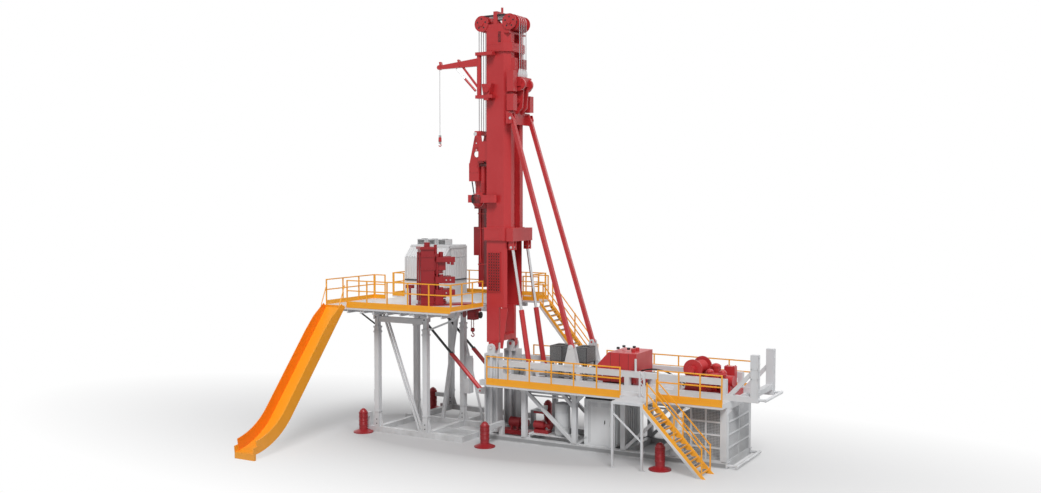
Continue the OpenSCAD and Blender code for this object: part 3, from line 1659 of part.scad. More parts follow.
// Drive box, motors, the round gear housing and the guide arm beside the mast
module top_drive_gearbox() {
    housing_d = 760;
    housing_h = 520;
    motor_d = 300;
    arm_y = mast_half + 80;
    arm_t = 190;
    arm_z = gearbox_z - 1000;
    color(rig_red) {
        block([well_x - 480, -carriage_half, gearbox_z], [well_x + 60, carriage_half, carriage_z - fit]);
        for (y = [-230, 230])
            translate([well_x + 200, y, gearbox_z - 560])
                cylinder(h = carriage_z - gearbox_z + 400, d = motor_d);
        translate([well_x + 60, 0, gearbox_z - 550 - housing_h + 40])
            cylinder(h = housing_h, d = housing_d);
        translate([well_x - 150, 0, gearbox_z - 600])
            cylinder(h = 601, d = 420);
        block([well_x - 150, -arm_y - arm_t, arm_z], [well_x + 200, 0, arm_z + 360]);
        block([well_x + 100, -arm_y - arm_t, arm_z], [120, -arm_y, arm_z + 360]);
        translate([120, -arm_y - arm_t / 2, arm_z])
            cylinder(h = 360, d = arm_t);
    }
}

// Swivel block, the pipe handler's beam and its box
module pipe_handler() {
    half = 150;
    top = gearbox_z - 550 - 520 + 40 - fit;
    box_d = 260;
    color(rig_red) {
        block([well_x - 260, -330, top - 260], [well_x + 380, 330, top]);
        block([well_x - half, -half, handler_z], [well_x + half, half, top - 259]);
        block([well_x - half - box_d, -half, handler_z + 1500], [well_x - half + 1, half, handler_z + 2850]);
    }
}

skid_base();
skid_posts();
skid_braces();
deck_beams();
deck_plate();
mast_pedestals();
girders();
tail_frame();
equipment_cabinet();
cabinet_door();
tail_cage();
power_unit();
skid_pump();
coolers();
power_pack_hood();
winch_frame();
winch_drum();
jacks();
jack_arms();
stair_landings();
stair_stringers();
stair_treads();
stair_handrails();
deck_railing();
floor_base();
floor_legs();
floor_braces();
cylinder_barrels();
cylinder_rods();
foot_brackets();
lift_cylinders();
floor_beams();
floor_plate();
floor_railing();
slide();
cabin_walls();
cabin_roof();
cabin_glass();
cabin_coolers();
roughneck_column();
roughneck_wrench();
gate_hoist();
mast_lower();
mast_upper();
mast_collar();
mast_rails();
crown_frame();
crown_sheaves_front();
crown_sheaves_rear();
hoist_lines();
rear_lines();
rear_head();
back_braces();
jib_bracket();
jib_boom();
jib_line();
top_drive_carriage();
top_drive_gearbox();
pipe_handler();
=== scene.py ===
import json
import math
from itertools import product

import bpy
import numpy as np
from bpy.types import Operator, Panel, PropertyGroup
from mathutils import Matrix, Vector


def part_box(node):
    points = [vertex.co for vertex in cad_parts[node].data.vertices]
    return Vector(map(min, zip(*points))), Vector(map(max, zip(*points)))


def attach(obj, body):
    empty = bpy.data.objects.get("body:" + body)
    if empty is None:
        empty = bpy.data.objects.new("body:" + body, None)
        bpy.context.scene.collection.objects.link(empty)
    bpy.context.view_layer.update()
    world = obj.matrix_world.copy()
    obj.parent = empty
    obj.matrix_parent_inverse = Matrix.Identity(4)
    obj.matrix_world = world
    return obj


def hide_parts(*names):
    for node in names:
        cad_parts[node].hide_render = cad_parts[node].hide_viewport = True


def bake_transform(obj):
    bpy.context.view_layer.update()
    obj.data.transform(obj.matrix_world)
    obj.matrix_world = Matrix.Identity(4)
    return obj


bl_info = {
    "name": "Drilling rig",
    "version": (1, 0, 0),
    "blender": (4, 5, 0),
    "location": "3D View > Sidebar > Rig",
    "description": "Dresses the drilling rig's frame with paint, fittings and a plain studio",
    "category": "Add Mesh",
}

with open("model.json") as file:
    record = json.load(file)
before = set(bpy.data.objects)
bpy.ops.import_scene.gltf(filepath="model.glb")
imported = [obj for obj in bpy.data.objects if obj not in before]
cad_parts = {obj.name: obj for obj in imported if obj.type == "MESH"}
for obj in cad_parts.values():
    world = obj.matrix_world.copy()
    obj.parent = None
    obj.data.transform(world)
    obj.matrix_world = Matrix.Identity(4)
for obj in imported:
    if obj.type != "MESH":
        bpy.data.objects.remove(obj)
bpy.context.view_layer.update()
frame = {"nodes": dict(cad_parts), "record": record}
ROOT = "root"
SMOOTH_ANGLE = math.radians(35)
UP = (0, 0, 1)
SKEW = (0.13, 0.21, 0.97)  # up for tubes, whose paths seldom run along it
SIDES = (-1, 1)

# Places on the rig, in metres.

LEGS_X, LEGS_Y = (-5.3, -2.55), (-2.7, 0.5, 3.65)
POSTS_X = (1.98, 4.51, 6.855, 9.15, 11.375)
JACKS = ((-5.8, -3.2), (0.79, -3.0), (9.15, -3.0), (-6.16, 3.19), (0.79, 3.0), (9.15, 3.0))
FLOOR_Z, DECK_Z, DECK_EDGE = 6.05, 2.75, 2.2
WELL_X = -1.129
MAST_FACE, COLLAR_FACE = 0.8, 0.89
CROWN_X, CROWN_Z = (-0.78, 0.7), 19.12
DRUM_X, DRUM_Z = 9.64, 3.83
TANK_X, TANK_Y = 3.66, -1.02
HOIST_X, HOIST_Y = -1.2, -0.8
DOOR_FACE = -1.3797
WEB_SHADE_Y, GIRDER_FACE = 1.6, 1.2


# Shapes. Each surface is a whole array of points with an array of faces.

class Shape:
    """Surfaces of one piece and the finishes that they wear: the first one where none is named."""

    def __init__(self, *coats):
        self.coats = coats
        self.points, self.faces, self.marks, self.count = [], [], [], 0

    def add(self, points, faces, paint=None):
        """Adds points (n, 3) and arrays of faces (m, corners) that number them."""
        points = np.asarray(points, float).reshape(-1, 3)
        mark = self.coats.index(paint or self.coats[0])
        self.points.append(points)
        for group in faces:
            group = np.asarray(group, np.int32)
            self.faces.append(group + self.count)
            self.marks.append(np.full(len(group), mark, np.int32))
        self.count += len(points)

    def prisms(self, starts, ends, edge, paint):
        """Straight pieces: the points of an edge (n, sides, 3) about each start, carried to its end, with flat ends."""
        sides = edge.shape[1]
        points = np.concatenate([starts[:, None] + edge, ends[:, None] + edge], 1)
        faces = [(group[None] + 2 * sides * np.arange(len(starts))[:, None, None]).reshape(-1, group.shape[1])
                 for group in grid_faces(2, sides, True)]
        self.add(points, faces, paint)

    def slabs(self, lows, highs, paint=None):
        """Upright boxes: a level rectangle carried from the low corner up to the high one."""
        lows, highs = paired(lows, highs)
        size = highs - lows
        edge = size[:, None] * [[(0, 0, 0), (0, 1, 0), (1, 1, 0), (1, 0, 0)]]
        self.prisms(lows, lows + size * UP, edge, paint)

    def block(self, x, y, half_x, half_y, low, high, paint=None):
        """Upright box about a place: half_x and half_y to each side of it, from low to high."""
        self.slabs((x - half_x, y - half_y, low), (x + half_x, y + half_y, high), paint)

    def bars(self, starts, ends, width, depth, paint=None, up=UP):
        """Straight bars: a rectangle, width across and depth along up, carried from start to end."""
        starts, ends = paired(starts, ends)
        across, rise = frames_along(ends - starts, up)
        across, rise = across * width / 2, rise * depth / 2
        edge = np.stack([-across - rise, across - rise, across + rise, rise - across], 1)
        self.prisms(starts, ends, edge, paint)

    def rods(self, starts, ends, radius, sides=12, paint=None):
        """Round or cornered rods: a ring of the radius carried from start to end."""
        starts, ends = paired(starts, ends)
        self.prisms(starts, ends, circles(ends - starts, UP, sides) * radius, paint)

    def boss(self, start, reach, radius, sides=16, paint=None):
        """One rod from a start along a reach."""
        self.rods(start, np.add(start, reach), radius, sides, paint)

    def tube(self, path, radius, sides=10, paint=None):
        """Round tube: a ring square to the path at each of its points, with flat ends."""
        path = np.asarray(path, float)
        edge = circles(np.gradient(path, axis=0), SKEW, sides) * radius
        self.add(path[:, None] + edge, grid_faces(len(path), sides, True), paint)

    def turned(self, start, end, profile, sides=24, paint=None):
        """Turned piece: pairs of share along the axis and radius, carried round the axis from start to end."""
        start, end, profile = arrays(start, end, profile)
        middle = start + profile[:, :1] * (end - start)
        edge = circles((end - start)[None], UP, sides) * profile[:, 1, None, None]
        self.add(middle[:, None] + edge, grid_faces(len(profile), sides, True), paint)

    def band(self, x, y, low, high, radius, sides=20, paint=None):
        """Upright round band about a place, from low to high."""
        self.turned((x, y, low), (x, y, high), [(0, radius), (1, radius)], sides, paint)

    def plate(self, outline, offset, paint=None):
        """Flat plate: an outline that runs right-handed round an offset, carried along it."""
        outline, offset = arrays(outline, offset)
        self.surface(np.stack([outline + offset, outline]), paint, True)

    def surface(self, points, paint=None, closed=False):
        """Sheet from a grid of points (rows, columns, 3); a closed one joins its sides and fills its end rows."""
        self.add(points, grid_faces(*points.shape[:2], closed), paint)


def arrays(*values):
    """Points, or lists of numbers or points, as arrays."""
    return [np.asarray(value, float) for value in values]


def paired(first, second):
    """Two points or lists of points as lists of one length."""
    return np.broadcast_arrays(*(np.atleast_2d(value).astype(float) for value in (first, second)))


def frames_along(directions, up):
    """Two unit vectors square to each direction: the first square to up as well, the second nearest to up."""
    d = directions / np.linalg.norm(directions, axis=1, keepdims=True)
    up = np.broadcast_to(np.asarray(up, float), d.shape).copy()
    up[np.abs((d * up).sum(1)) > 0.999] = (1, 0, 0)
    across = np.cross(d, up)
    across /= np.linalg.norm(across, axis=1, keepdims=True)
    return across, np.cross(across, d)


def circles(directions, up, sides):
    """A ring of unit vectors square to each direction: cos(angle) * across + sin(angle) * rise."""
    across, rise = frames_along(directions, up)
    angle = (np.arange(sides) * 2 * np.pi / sides)[None, :, None]
    return across[:, None] * np.cos(angle) + rise[:, None] * np.sin(angle)


def grid_faces(rows, columns, closed):
    """Quads between neighbours in a grid; a closed grid joins its last column to its first and caps its end rows."""
    last = columns if closed else columns - 1
    i, k = np.meshgrid(np.arange(rows - 1), np.arange(last), indexing="ij")
    here, n = i * columns, (k + 1) % columns
    below = here + columns
    faces = [np.stack([here + k, below + k, below + n, here + n], -1).reshape(-1, 4)]
    if closed:
        edge = np.arange(columns)
        faces.append(np.stack([edge, (rows - 1) * columns + edge[::-1]]))
    return faces


def place(name, shape, body=ROOT, stands_for=()):
    """Makes the piece's object from its shape, and lets it ride on a body of the frame."""
    mesh = bpy.data.meshes.new(name)
    mesh.from_pydata(np.concatenate(shape.points), [], [face for group in shape.faces for face in group.tolist()])
    mesh.polygons.foreach_set("material_index", np.concatenate(shape.marks))
    if mesh.validate():
        raise RuntimeError(f"{name} has faces that don't hold together")
    mesh.shade_smooth()
    mesh.set_sharp_from_angle(angle=SMOOTH_ANGLE)
    for paint in shape.coats:
        mesh.materials.append(coat(paint))
    piece = bpy.data.objects.new(name, mesh)
    bpy.context.scene.collection.objects.link(piece)
    if stands_for:
        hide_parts(*stands_for)
    if body:
        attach(piece, body)
    return piece


# Finishes. Expressions on Value objects add Math nodes to the shader tree.

WHITE = (1, 1, 1, 1)
# Colour and height of the darkening near the ground: partly real dust, partly painted shade on the rig's low parts.
DUST_AND_SHADE, DUST_AND_SHADE_HEIGHT = (0.26, 0.25, 0.24, 1), 1.4
BARREL_TOP = 3.74  # of the cylinders that lift the drill floor
# Painted shadow on the floor: grey near the rig, fading to white over ellipses about this centre.
SHADOW_CENTRE, SHADOW_SCALE = (0.5, -1.0), (0.1, 0.222)
SHADOW_FADE_START, SHADOW_FADE_END, SHADOW_FADE_BEND = 0.85, 3.0, 0.6


class Value:
    """A number that changes over a surface: a socket whose sums and products are Math nodes."""

    def __init__(self, graph, socket):
        self.graph, self.socket = graph, socket

    def math(self, operation, other):
        """The output of a Math node that works on this value and another."""
        node = self.graph.node("ShaderNodeMath", {0: self, 1: other}, operation=operation)
        return Value(self.graph, node.outputs[0])

    def __add__(self, other):
        return self.math("ADD", other)

    def __sub__(self, other):
        return self.math("SUBTRACT", other)

    def __mul__(self, other):
        return self.math("MULTIPLY", other)

    def __gt__(self, other):
        return self.math("GREATER_THAN", other)

    def __mod__(self, other):
        return self.math("FLOORED_MODULO", other)

    def __pow__(self, other):
        return self.math("POWER", other)

    __radd__, __rmul__ = __add__, __mul__


class Graph:
    """A shader tree, with one method that adds any node."""

    def __init__(self, tree):
        self.tree = tree

    def node(self, kind, sockets=None, **settings):
        """Adds a node, sets it up, then gives its sockets a value or a link."""
        node = self.tree.nodes.new(kind)
        for name, value in settings.items():
            setattr(node, name, value)
        for name, value in (sockets or {}).items():
            self.feed(node.inputs[name], value)
        return node

    def feed(self, socket, value):
        """Links a value or a node's output to a socket, or writes a plain number or colour there."""
        if isinstance(value, Value):
            value = value.socket
        if isinstance(value, bpy.types.NodeSocket):
            self.tree.links.new(value, socket)
        else:
            socket.default_value = value

    def ramp(self, value, low, high):
        """0 below low, 1 above high, and straight between them."""
        span = self.node("ShaderNodeMapRange", {"Value": value, "From Min": low, "From Max": high}, clamp=True)
        return Value(self, span.outputs[0])

    def seen(self):
        """1 for what the camera sees, straight, in a reflection or through glass, and 0 for light on other things."""
        rays = self.node("ShaderNodeLightPath").outputs
        camera, glossy, clear = (Value(self, rays[f"Is {kind} Ray"]) for kind in ("Camera", "Glossy", "Transmission"))
        return self.ramp(camera + glossy + clear, 0.0, 1.0)

    def blend(self, share, first, second):
        """Output of a shader between two shaders by a share."""
        return self.node("ShaderNodeMixShader", {0: share, 1: first.outputs[0], 2: second.outputs[0]}).outputs[0]


class Finish(Graph):
    """A material: its shader tree, and the places on a piece that the tree's patterns follow."""

    def __init__(self, name, colour, roughness, metallic=0.0):
        self.material = bpy.data.materials.new(name)
        self.material.use_nodes = True
        super().__init__(self.material.node_tree)
        self.shader = self.tree.nodes["Principled BSDF"]
        self.wear("Base Color", (*colour, 1))
        self.wear("Roughness", roughness)
        self.wear("Metallic", metallic)
        self.material.diffuse_color = (*colour, 1)

    def spot(self):
        """The place on the piece, in metres."""
        return self.node("ShaderNodeTexCoord").outputs["Object"]

    def axis(self, which):
        """One coordinate of the place on the piece."""
        split = self.node("ShaderNodeSeparateXYZ", {0: self.spot()})
        return Value(self, split.outputs[which])

    def noise(self, scale, detail=3.0, stretch=(1, 1, 1)):
        """Cloudy value from 0 to 1; a small stretch along an axis draws it out along that axis."""
        turn = self.node("ShaderNodeMapping", {"Vector": self.spot(), "Scale": stretch})
        cloud = self.node("ShaderNodeTexNoise", {
            "Vector": turn.outputs[0], "Scale": scale, "Detail": detail, "Roughness": 0.55})
        return Value(self, cloud.outputs["Fac"])

    def mix(self, share, first, second):
        """Colour between two colours by a share."""
        blend = self.node("ShaderNodeMix", {0: share, 6: first, 7: second}, data_type="RGBA")
        return blend.outputs[2]

    def wear(self, name, value):
        """Feeds one of the surface's inputs."""
        self.feed(self.shader.inputs[name], value)


def shade(colour, factor):
    """A colour made darker or lighter, as four numbers."""
    return (*[min(1.0, c * factor) for c in colour], 1)


def worn_paint(name, colour, roughness, dirt, settled_and_shade):
    """Sprayed paint: faint clouds in its colour, rain streaks down its sides, and darkening near the ground that is
    partly dust and partly painted shade.
    """
    finish = Finish(name, colour, roughness)
    clouds = finish.ramp(finish.noise(0.9, 4.0), 0.35, 0.7)
    streaks = finish.ramp(finish.noise(3.2, 5.0, (1, 1, 0.12)), 0.52, 0.78)
    # Darker towards the ground: real dust, and painted shade where the low parts stand in shade.
    dust_and_shade = finish.ramp(finish.axis(2), DUST_AND_SHADE_HEIGHT, 0.0) * finish.ramp(finish.noise(1.6, 5.0), 0.2, 0.62)
    base = finish.mix(clouds * 0.6, shade(colour, 1.04), shade(colour, 0.94))
    rained = finish.mix(streaks * (0.28 * dirt), base, shade(colour, 0.62))
    finish.wear("Base Color", finish.mix(dust_and_shade * settled_and_shade, rained, DUST_AND_SHADE))
    finish.wear("Roughness", roughness - 0.06 + 0.14 * clouds + 0.1 * streaks)
    return finish


PAINTS = (  # name, title, roughness, dirt, and the share of dust and painted shade near the ground
    # white's large share near the ground is mostly painted shade on the skid's low beams.
    ("white", "white_paint", 0.4, 0.5, 0.5), ("red", "red_paint", 0.36, 0.45, 0.12),
    # The mast's red and the machines' deep red are one paint; their difference is painted light: sheen and haze on the
    # mast, shade on the machines.
    ("yellow", "yellow_paint", 0.42, 0.4, 0.12), ("deep", "deep_red_paint", 0.36, 0.45, 0.03),
    # The slide's far wall takes a deeper copy of the slide's orange, as painted shade on that wall.
    ("orange", "slide_orange_paint", 0.38, 0.4, 0.12), ("lane", "slide_wall_paint", 0.4, 0.4, 0.12),
    ("grey", "grey_paint", 0.5, 0.5, 0.12), ("pale", "cabin_paint", 0.45, 0.5, 0.12),
    ("mid", "housing_paint", 0.5, 0.5, 0.12),
)


def studio_finish(colour):
    """Floor with a painted contact shadow: grey near the rig, fading to white by the distance from it, measured in
    ellipses about it.
    """
    finish = Finish("studio_floor", colour, 0.7)
    along, across = ((finish.axis(k) - SHADOW_CENTRE[k]) * SHADOW_SCALE[k] for k in range(2))
    away = (along * along + across * across) ** 0.5
    # The painted shadow fades out from the rig to the white floor.
    shadow_fade = finish.ramp(away, SHADOW_FADE_START, SHADOW_FADE_END) ** SHADOW_FADE_BEND
    white = finish.node("ShaderNodeEmission", {"Color": WHITE, "Strength": 1.0})
    out = finish.tree.nodes["Material Output"].inputs["Surface"]
    finish.feed(out, finish.blend(shadow_fade * finish.seen(), finish.shader, white))
    return finish


def wardrobe():
    """Every finish that the rig and the studio wear, by name."""
    tint = bpy.context.scene.rig_paint
    black = Finish("black_rubber", tint.black, 0.6)
    black.wear("Roughness", 0.5 + 0.2 * black.noise(14.0))
    steel = Finish("bright_steel", tint.steel, 0.28, 1.0)
    steel.wear("Roughness", 0.2 + 0.16 * steel.noise(6.0, 3.0, (1, 1, 0.2)))
    rope = Finish("wire_rope", tint.rope, 0.45, 0.6)
    lay = rope.ramp((rope.axis(2) * 26.0 + rope.axis(0) * 40.0 + rope.axis(1) * 40.0) % 1.0, 0.0, 1.0)
    bump = rope.node("ShaderNodeBump", {"Height": lay, "Strength": 0.5, "Distance": 0.004})
    rope.wear("Normal", bump.outputs[0])
    glass = Finish("window_glass", tint.glass, 0.06)
    glass.wear("Coat Weight", 0.6)
    lift = Finish("floor_cylinder", tint.red, 0.35)
    lift.wear("Base Color", lift.mix(lift.axis(2) > BARREL_TOP, (*tint.red, 1), (*tint.grey, 1)))
    finishes = {
        **{name: worn_paint(title, getattr(tint, name), *wear) for name, title, *wear in PAINTS},
        "black": black, "steel": steel, "rope": rope, "glass": glass, "lift": lift,
        "studio": studio_finish(bpy.context.scene.rig_studio.floor),
    }
    return {name: finish.material for name, finish in finishes.items()}


COATS = {}


def coat(name):
    """The material of that name; all of them are made at the first call."""
    if not COATS:
        COATS.update(wardrobe())
    return COATS[name]


# Settings that a user would change.

def colour_setting(title, about, value):
    """A colour shown as a swatch."""
    return bpy.props.FloatVectorProperty(name=title, description=about, default=value, subtype="COLOR", min=0, max=1)


class RigPaint(PropertyGroup):
    """Colours of the rig's finishes."""

    white: colour_setting("Structure", "Paint of beams, posts and girders", (0.64, 0.65, 0.665))
    # Lighter copy of the rig's red paint, holding the mast's painted sheen and haze.
    red: colour_setting("Mast", "Paint of the mast and the machines", (0.5, 0.03, 0.034))
    yellow: colour_setting("Railing", "Paint of railings and stairs", (0.9, 0.39, 0.018))
    # Deeper copy of the rig's red paint: painted shade on the jacks, the roughneck and the hoists.
    deep: colour_setting("Machines", "Paint of jacks, roughneck and hoists", (0.29, 0.009, 0.014))
    orange: colour_setting("Slide", "Paint of the escape slide", (0.88, 0.345, 0.011))
    # Deeper copy of the slide's orange: painted shade on the slide's far wall.
    lane: colour_setting("Slide wall", "Paint of the slide's far wall", (0.89, 0.235, 0.006))
    grey: colour_setting("Coolers", "Paint of coolers and housings", (0.05, 0.052, 0.055))
    pale: colour_setting("Cabin", "Paint of the cabin and the cabinet", (0.68, 0.69, 0.7))
    mid: colour_setting("Housing", "Paint of closed housings and fins", (0.28, 0.285, 0.29))
    black: colour_setting("Rubber", "Hoses, caps and seals", (0.012, 0.012, 0.013))
    steel: colour_setting("Steel", "Bare rods and pins", (0.62, 0.62, 0.63))
    rope: colour_setting("Lines", "Wire ropes", (0.38, 0.38, 0.39))
    glass: colour_setting("Glass", "Cabin windows", (0.03, 0.038, 0.045))


class RigStudio(PropertyGroup):
    """Camera, lamps and floor."""

    camera_place: bpy.props.FloatVectorProperty(
        name="Camera", description="Place of the camera", default=(25.873, -44.139, 11.115), subtype="TRANSLATION")
    camera_turn: bpy.props.FloatVectorProperty(
        name="Turn", description="Turn of the camera", subtype="EULER",
        default=(math.radians(87.4), 0, math.radians(29.475)))
    lens: bpy.props.FloatProperty(name="Lens", description="Focal length", default=37.75, unit="CAMERA")
    key: bpy.props.FloatProperty(name="Key lamp", description="Strength of the main soft lamp", default=2.4)
    sky: bpy.props.FloatProperty(name="Sky", description="Strength of the light from all round", default=0.27)
    # Grey of the floor near the rig, where it stands as painted shadow before the fade to white.
    floor: colour_setting("Floor", "Colour of the studio floor", (0.53, 0.53, 0.538))


# Pieces.

PAINT_OF_SLOT = {
    "white_paint": "white", "red_paint": "red", "yellow_paint": "yellow", "grey_paint": "grey",
    "bright_steel": "steel", "window_glass": "glass",
}
PAINT_OF_NODE = {
    "slide": "orange", "rear_lines": "rope", "jib_line": "rope", "lift_cylinders": "lift", "mast_rails": "red",
    "power_unit": "mid",
    **dict.fromkeys(("cabin_walls", "cabin_roof", "cabin_coolers", "equipment_cabinet", "cabinet_door"), "pale"),
    # These machines wear the deeper red, a painted shade of the mast's red.
    **dict.fromkeys(("roughneck_column", "roughneck_wrench", "jacks", "gate_hoist", "skid_pump", "pipe_handler"),
                    "deep"),
}


class RIG_OT_paint(Operator):
    """Paints every solid of the frame."""

    bl_idname = "rig.paint"
    bl_label = "Paint the frame"

    def execute(self, context):
        for entry in frame["record"]["subparts"]:
            name = PAINT_OF_NODE.get(entry["node"], PAINT_OF_SLOT[entry["material_slot"]])
            solid = frame["nodes"][entry["node"]]
            solid.data.materials.clear()
            solid.data.materials.append(coat(name))
        return {"FINISHED"}


class RIG_OT_hoist_lines(Operator):
    """Hangs the four hoist lines between the crown and the top drive's yoke."""

    bl_idname = "rig.hoist_lines"
    bl_label = "Hang the hoist lines"

    def execute(self, context):
        low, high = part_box("hoist_lines")
        radius, x = (high.x - low.x) / 2, (high.x + low.x) / 2
        lines = Shape("rope")
        for y in np.linspace(low.y + radius, high.y - radius, 4):
            lines.tube(np.linspace((x, y, high.z), (x, y, low.z), 41), radius, 10)
        piece = place("hoist_lines_wire", lines, None, ["hoist_lines"])
        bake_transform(piece)
        return {"FINISHED"}


def ring(centre, radius, count, normal="y", start=0.0):
    """Points spaced evenly round a circle that faces along an axis."""
    angle = start + np.arange(count) * 2 * np.pi / count
    flat = radius * np.stack([np.cos(angle), np.sin(angle)], 1)
    return np.asarray(centre, float) + np.insert(flat, "xyz".index(normal), 0.0, axis=1)


def studs(shape, points, direction, radius=0.018, height=0.02, paint=None):
    """Six-sided bolt heads that stand on points along a direction."""
    points, direction = arrays(points, direction)
    shape.rods(points, points + direction * height, radius, 6, paint)


def lattice(shape, corner, along, up, pitch, wire):
    """Crossed flat wires over a panel: corner + a * along + b * up, with a and b stepping by the pitch."""
    corner, along, up = arrays(corner, along, up)
    for first, second in ((along, up), (up, along)):
        steps = np.linspace(0, 1, max(2, int(round(np.linalg.norm(first) / pitch)) + 1))[:, None]
        starts = corner + steps * first
        shape.bars(starts, starts + second, wire, wire, up=np.cross(along, up))


def ripple(corner, along, up, depth=0.028, pitch=0.16):
    """Ribbed sheet: corner + a * along + b * up, raised by a flat-topped wave of a along the sheet's normal."""
    corner, along, up = arrays(corner, along, up)
    waves = max(1, int(round(np.linalg.norm(along) / pitch)))
    share, high = arrays((0.0, 0.3, 0.4, 0.9), (1, 1, 0, 0))
    a = np.append((np.arange(waves)[:, None] + share).ravel() / waves, 1.0)
    raise_by = np.append(np.tile(high, waves), 1.0)
    normal = np.cross(along, up)
    normal /= np.linalg.norm(normal)
    low = corner + a[:, None] * along + raise_by[:, None] * depth * normal
    return np.stack([low, low + up], 1)


def hook(shape, top, radius, wire):
    """Lifting hook: a shank and three quarters of a circle below it."""
    angle = np.linspace(np.pi / 2, -np.pi, 16)
    bow = np.stack([radius * np.cos(angle), 0 * angle, radius * np.sin(angle) - 2 * radius], 1)
    path = np.concatenate([[[0, 0, 0], [0, 0, -0.5 * radius]], bow])
    shape.tube(np.asarray(top, float) + path, wire, 8)


def arc(start, end, sag=0.0, count=17):
    """Hose path: a straight line lowered or raised by a parabola with a given sag."""
    t = np.linspace(0, 1, count)[:, None]
    start, end = arrays(start, end)
    return start * (1 - t) + end * t + sag * 4 * t * (1 - t) * UP


def fit_mast():
    """Pieces on the mast and its crown."""
    trim = Shape("red", "black", "steel", "white")
    trim.slabs((-0.36, -MAST_FACE - 0.008, 6.72), (0.32, -MAST_FACE + 0.01, 8.56), "black")
    lattice(trim, (-0.34, -MAST_FACE - 0.015, 6.74), (0.64, 0, 0), (0, 0, 1.8), 0.128, 0.052)
    # Black back of the ladder slot: painted shade inside the slot, with the rungs across it.
    trim.slabs((0.2, -MAST_FACE - 0.006, 18.2), (0.34, -MAST_FACE + 0.01, 18.67), "black")
    slats = np.linspace(18.24, 18.63, 8)
    trim.bars(*([(x, -MAST_FACE - 0.01, z) for z in slats] for x in (0.2, 0.34)), 0.02, 0.02)
    trim.plate([(x, -MAST_FACE, z) for x, z in ((0.3, 4.1), (0.3, 5.97), (0.7, 5.97), (0.42, 4.1))], (0, 0.05, 0))
    for z in (17.84, 18.1):
        studs(trim, [(x, -COLLAR_FACE, z) for x in np.linspace(-0.3, 0.4, 8)], (0, -1, 0), 0.014)
    trim.slabs((-0.2, -COLLAR_FACE - 0.007, 9.22), (0.3, -COLLAR_FACE + 0.001, 9.55))
    trim.slabs((0.7, -0.92, 9.08), (1.045, 0.92, 9.68))
    for side in SIDES:
        for z in (9.15, 9.62):
            studs(trim, [(x, side * COLLAR_FACE, z) for x in np.linspace(-0.42, 0.42, 9)], (0, side, 0))
        for x, y, z, out, radius in ((0, 1.15, 4.15, 0.035, 0.07), (0.9, 0.83, 8.8, 0.02, 0.06),
                                     (0.96, 1.005, 14.7, 0.02, 0.065), (4.15, 1.23, 4.45, 0.02, 0.065),
                                     (1.8, 0.886, 3.3, 0.02, 0.065)):
            trim.boss((x, side * y, z), (0, side * out, 0), radius, 16, "steel")
        for x in CROWN_X:
            hub, out = arrays((x, side * 0.64, CROWN_Z), (0, side, 0))
            face = hub + 0.03 * out
            trim.rods(hub, face, 0.37, 32)
            trim.boss(hub, 0.07 * out, 0.11, 20)
            holes = ring(face, 0.22, 5, start=0.3)
            trim.rods(holes, holes + 0.003 * out, 0.042, 12, "black")
            studs(trim, ring(face, 0.335, 12), out, 0.014)
    for y in (-0.63, 0.57):
        trim.slabs((-0.74, y, 19.42), (0.66, y + 0.06, 19.49), "black")
    socket = [(0, 0.07), (0.3, 0.085), (0.7, 0.06), (1, 0.03)]
    for y in np.linspace(-0.3, 0.3, 4):
        trim.turned((1.02, y, 16.6), (1.05, y, 17.0), socket, 12, "white")
    for y in (-0.34, 0.34):
        for x, z, half, radius, sides, paint in (
                (1.12, 16.28, 0.06, 0.27, 24, "red"), (0.92, 15.5, 0.05, 0.15, 20, "red"),
                (1.12, 16.28, 0.09, 0.06, 14, "steel")):
            trim.rods((x, y - half, z), (x, y + half, z), radius, sides, paint)
        studs(trim, ring((1.269, y, 16.4), 0.08, 6, "x"), (1, 0, 0), 0.016)
    for y, low, high in ((-0.8, 15.05, 15.8), (-0.8, 15.92, 16.86), (0.76, 15.05, 15.8)):
        trim.slabs((0.745, y - 0.17, low), (1.1, y + 0.17, high))
    studs(trim, [(0.86, y, z) for y in (-0.4, 0.4) for z in np.linspace(14.6, 15.8, 5)], (1, 0, 0))
    place("mast_fittings", trim)
    for name, x in zip(("crown_sheaves_front", "crown_sheaves_rear"), CROWN_X):
        webs = Shape("black")
        for side in SIDES:
            holes = ring((x, side * 0.4, CROWN_Z), 0.21, 6)
            webs.rods(holes, holes + (0, side * 0.004, 0), 0.07, 14)
        place(name + "_holes", webs, name)


class RIG_OT_mast(Operator):
    """Adds the mast's grid panel, bolts, pins, foot and collar plates, crown fittings and rear sockets."""

    bl_idname = "rig.mast"
    bl_label = "Fit out the mast"

    def execute(self, context):
        fit_mast()
        return {"FINISHED"}


def fit_jib():
    """The boom's cylinder, collars and hook, and the winch on the jib's bracket."""
    jib = Shape("red", "steel")
    run, post = arrays((-0.990, -0.139, 0), (-0.7, -1.01, 0))
    low, high = post + 0.17 * run + (0, 0, 16.0), post + 1.15 * run + (0, 0, 17.06)
    rod = low + 0.55 * (high - low)
    jib.rods(low, rod, 0.055, 14)
    jib.rods(rod, high, 0.035, 12, "steel")
    for reach, deep in ((0.95, 0.34), (1.9, 0.2)):
        jib.bars(post + reach * run + (0, 0, 17.31), post + (reach + 0.08) * run + (0, 0, 17.295), 0.21, deep)
    tip = np.array([-2.681, -1.288, 13.66])
    jib.turned(tip + (0, 0, 0.28), tip, [(0, 0.03), (0.15, 0.07), (0.8, 0.08), (1, 0.04)], 16)
    hook(jib, tip, 0.06, 0.022)
    place("jib_fittings", jib, "jib")
    winch = Shape("red")
    bracket = [(x, -1.13, z) for x, z in ((-0.5, 16.3), (-0.36, 15.55), (-0.14, 15.55), (0.02, 16.3))]
    winch.plate(bracket, (0, 0.3, 0))
    winch.boss((-0.24, -1.13, 16.05), (0, -0.07, 0), 0.17, 20)
    studs(winch, ring((-0.24, -1.2, 16.05), 0.12, 8), (0, -1, 0), 0.016)
    place("jib_winch", winch)


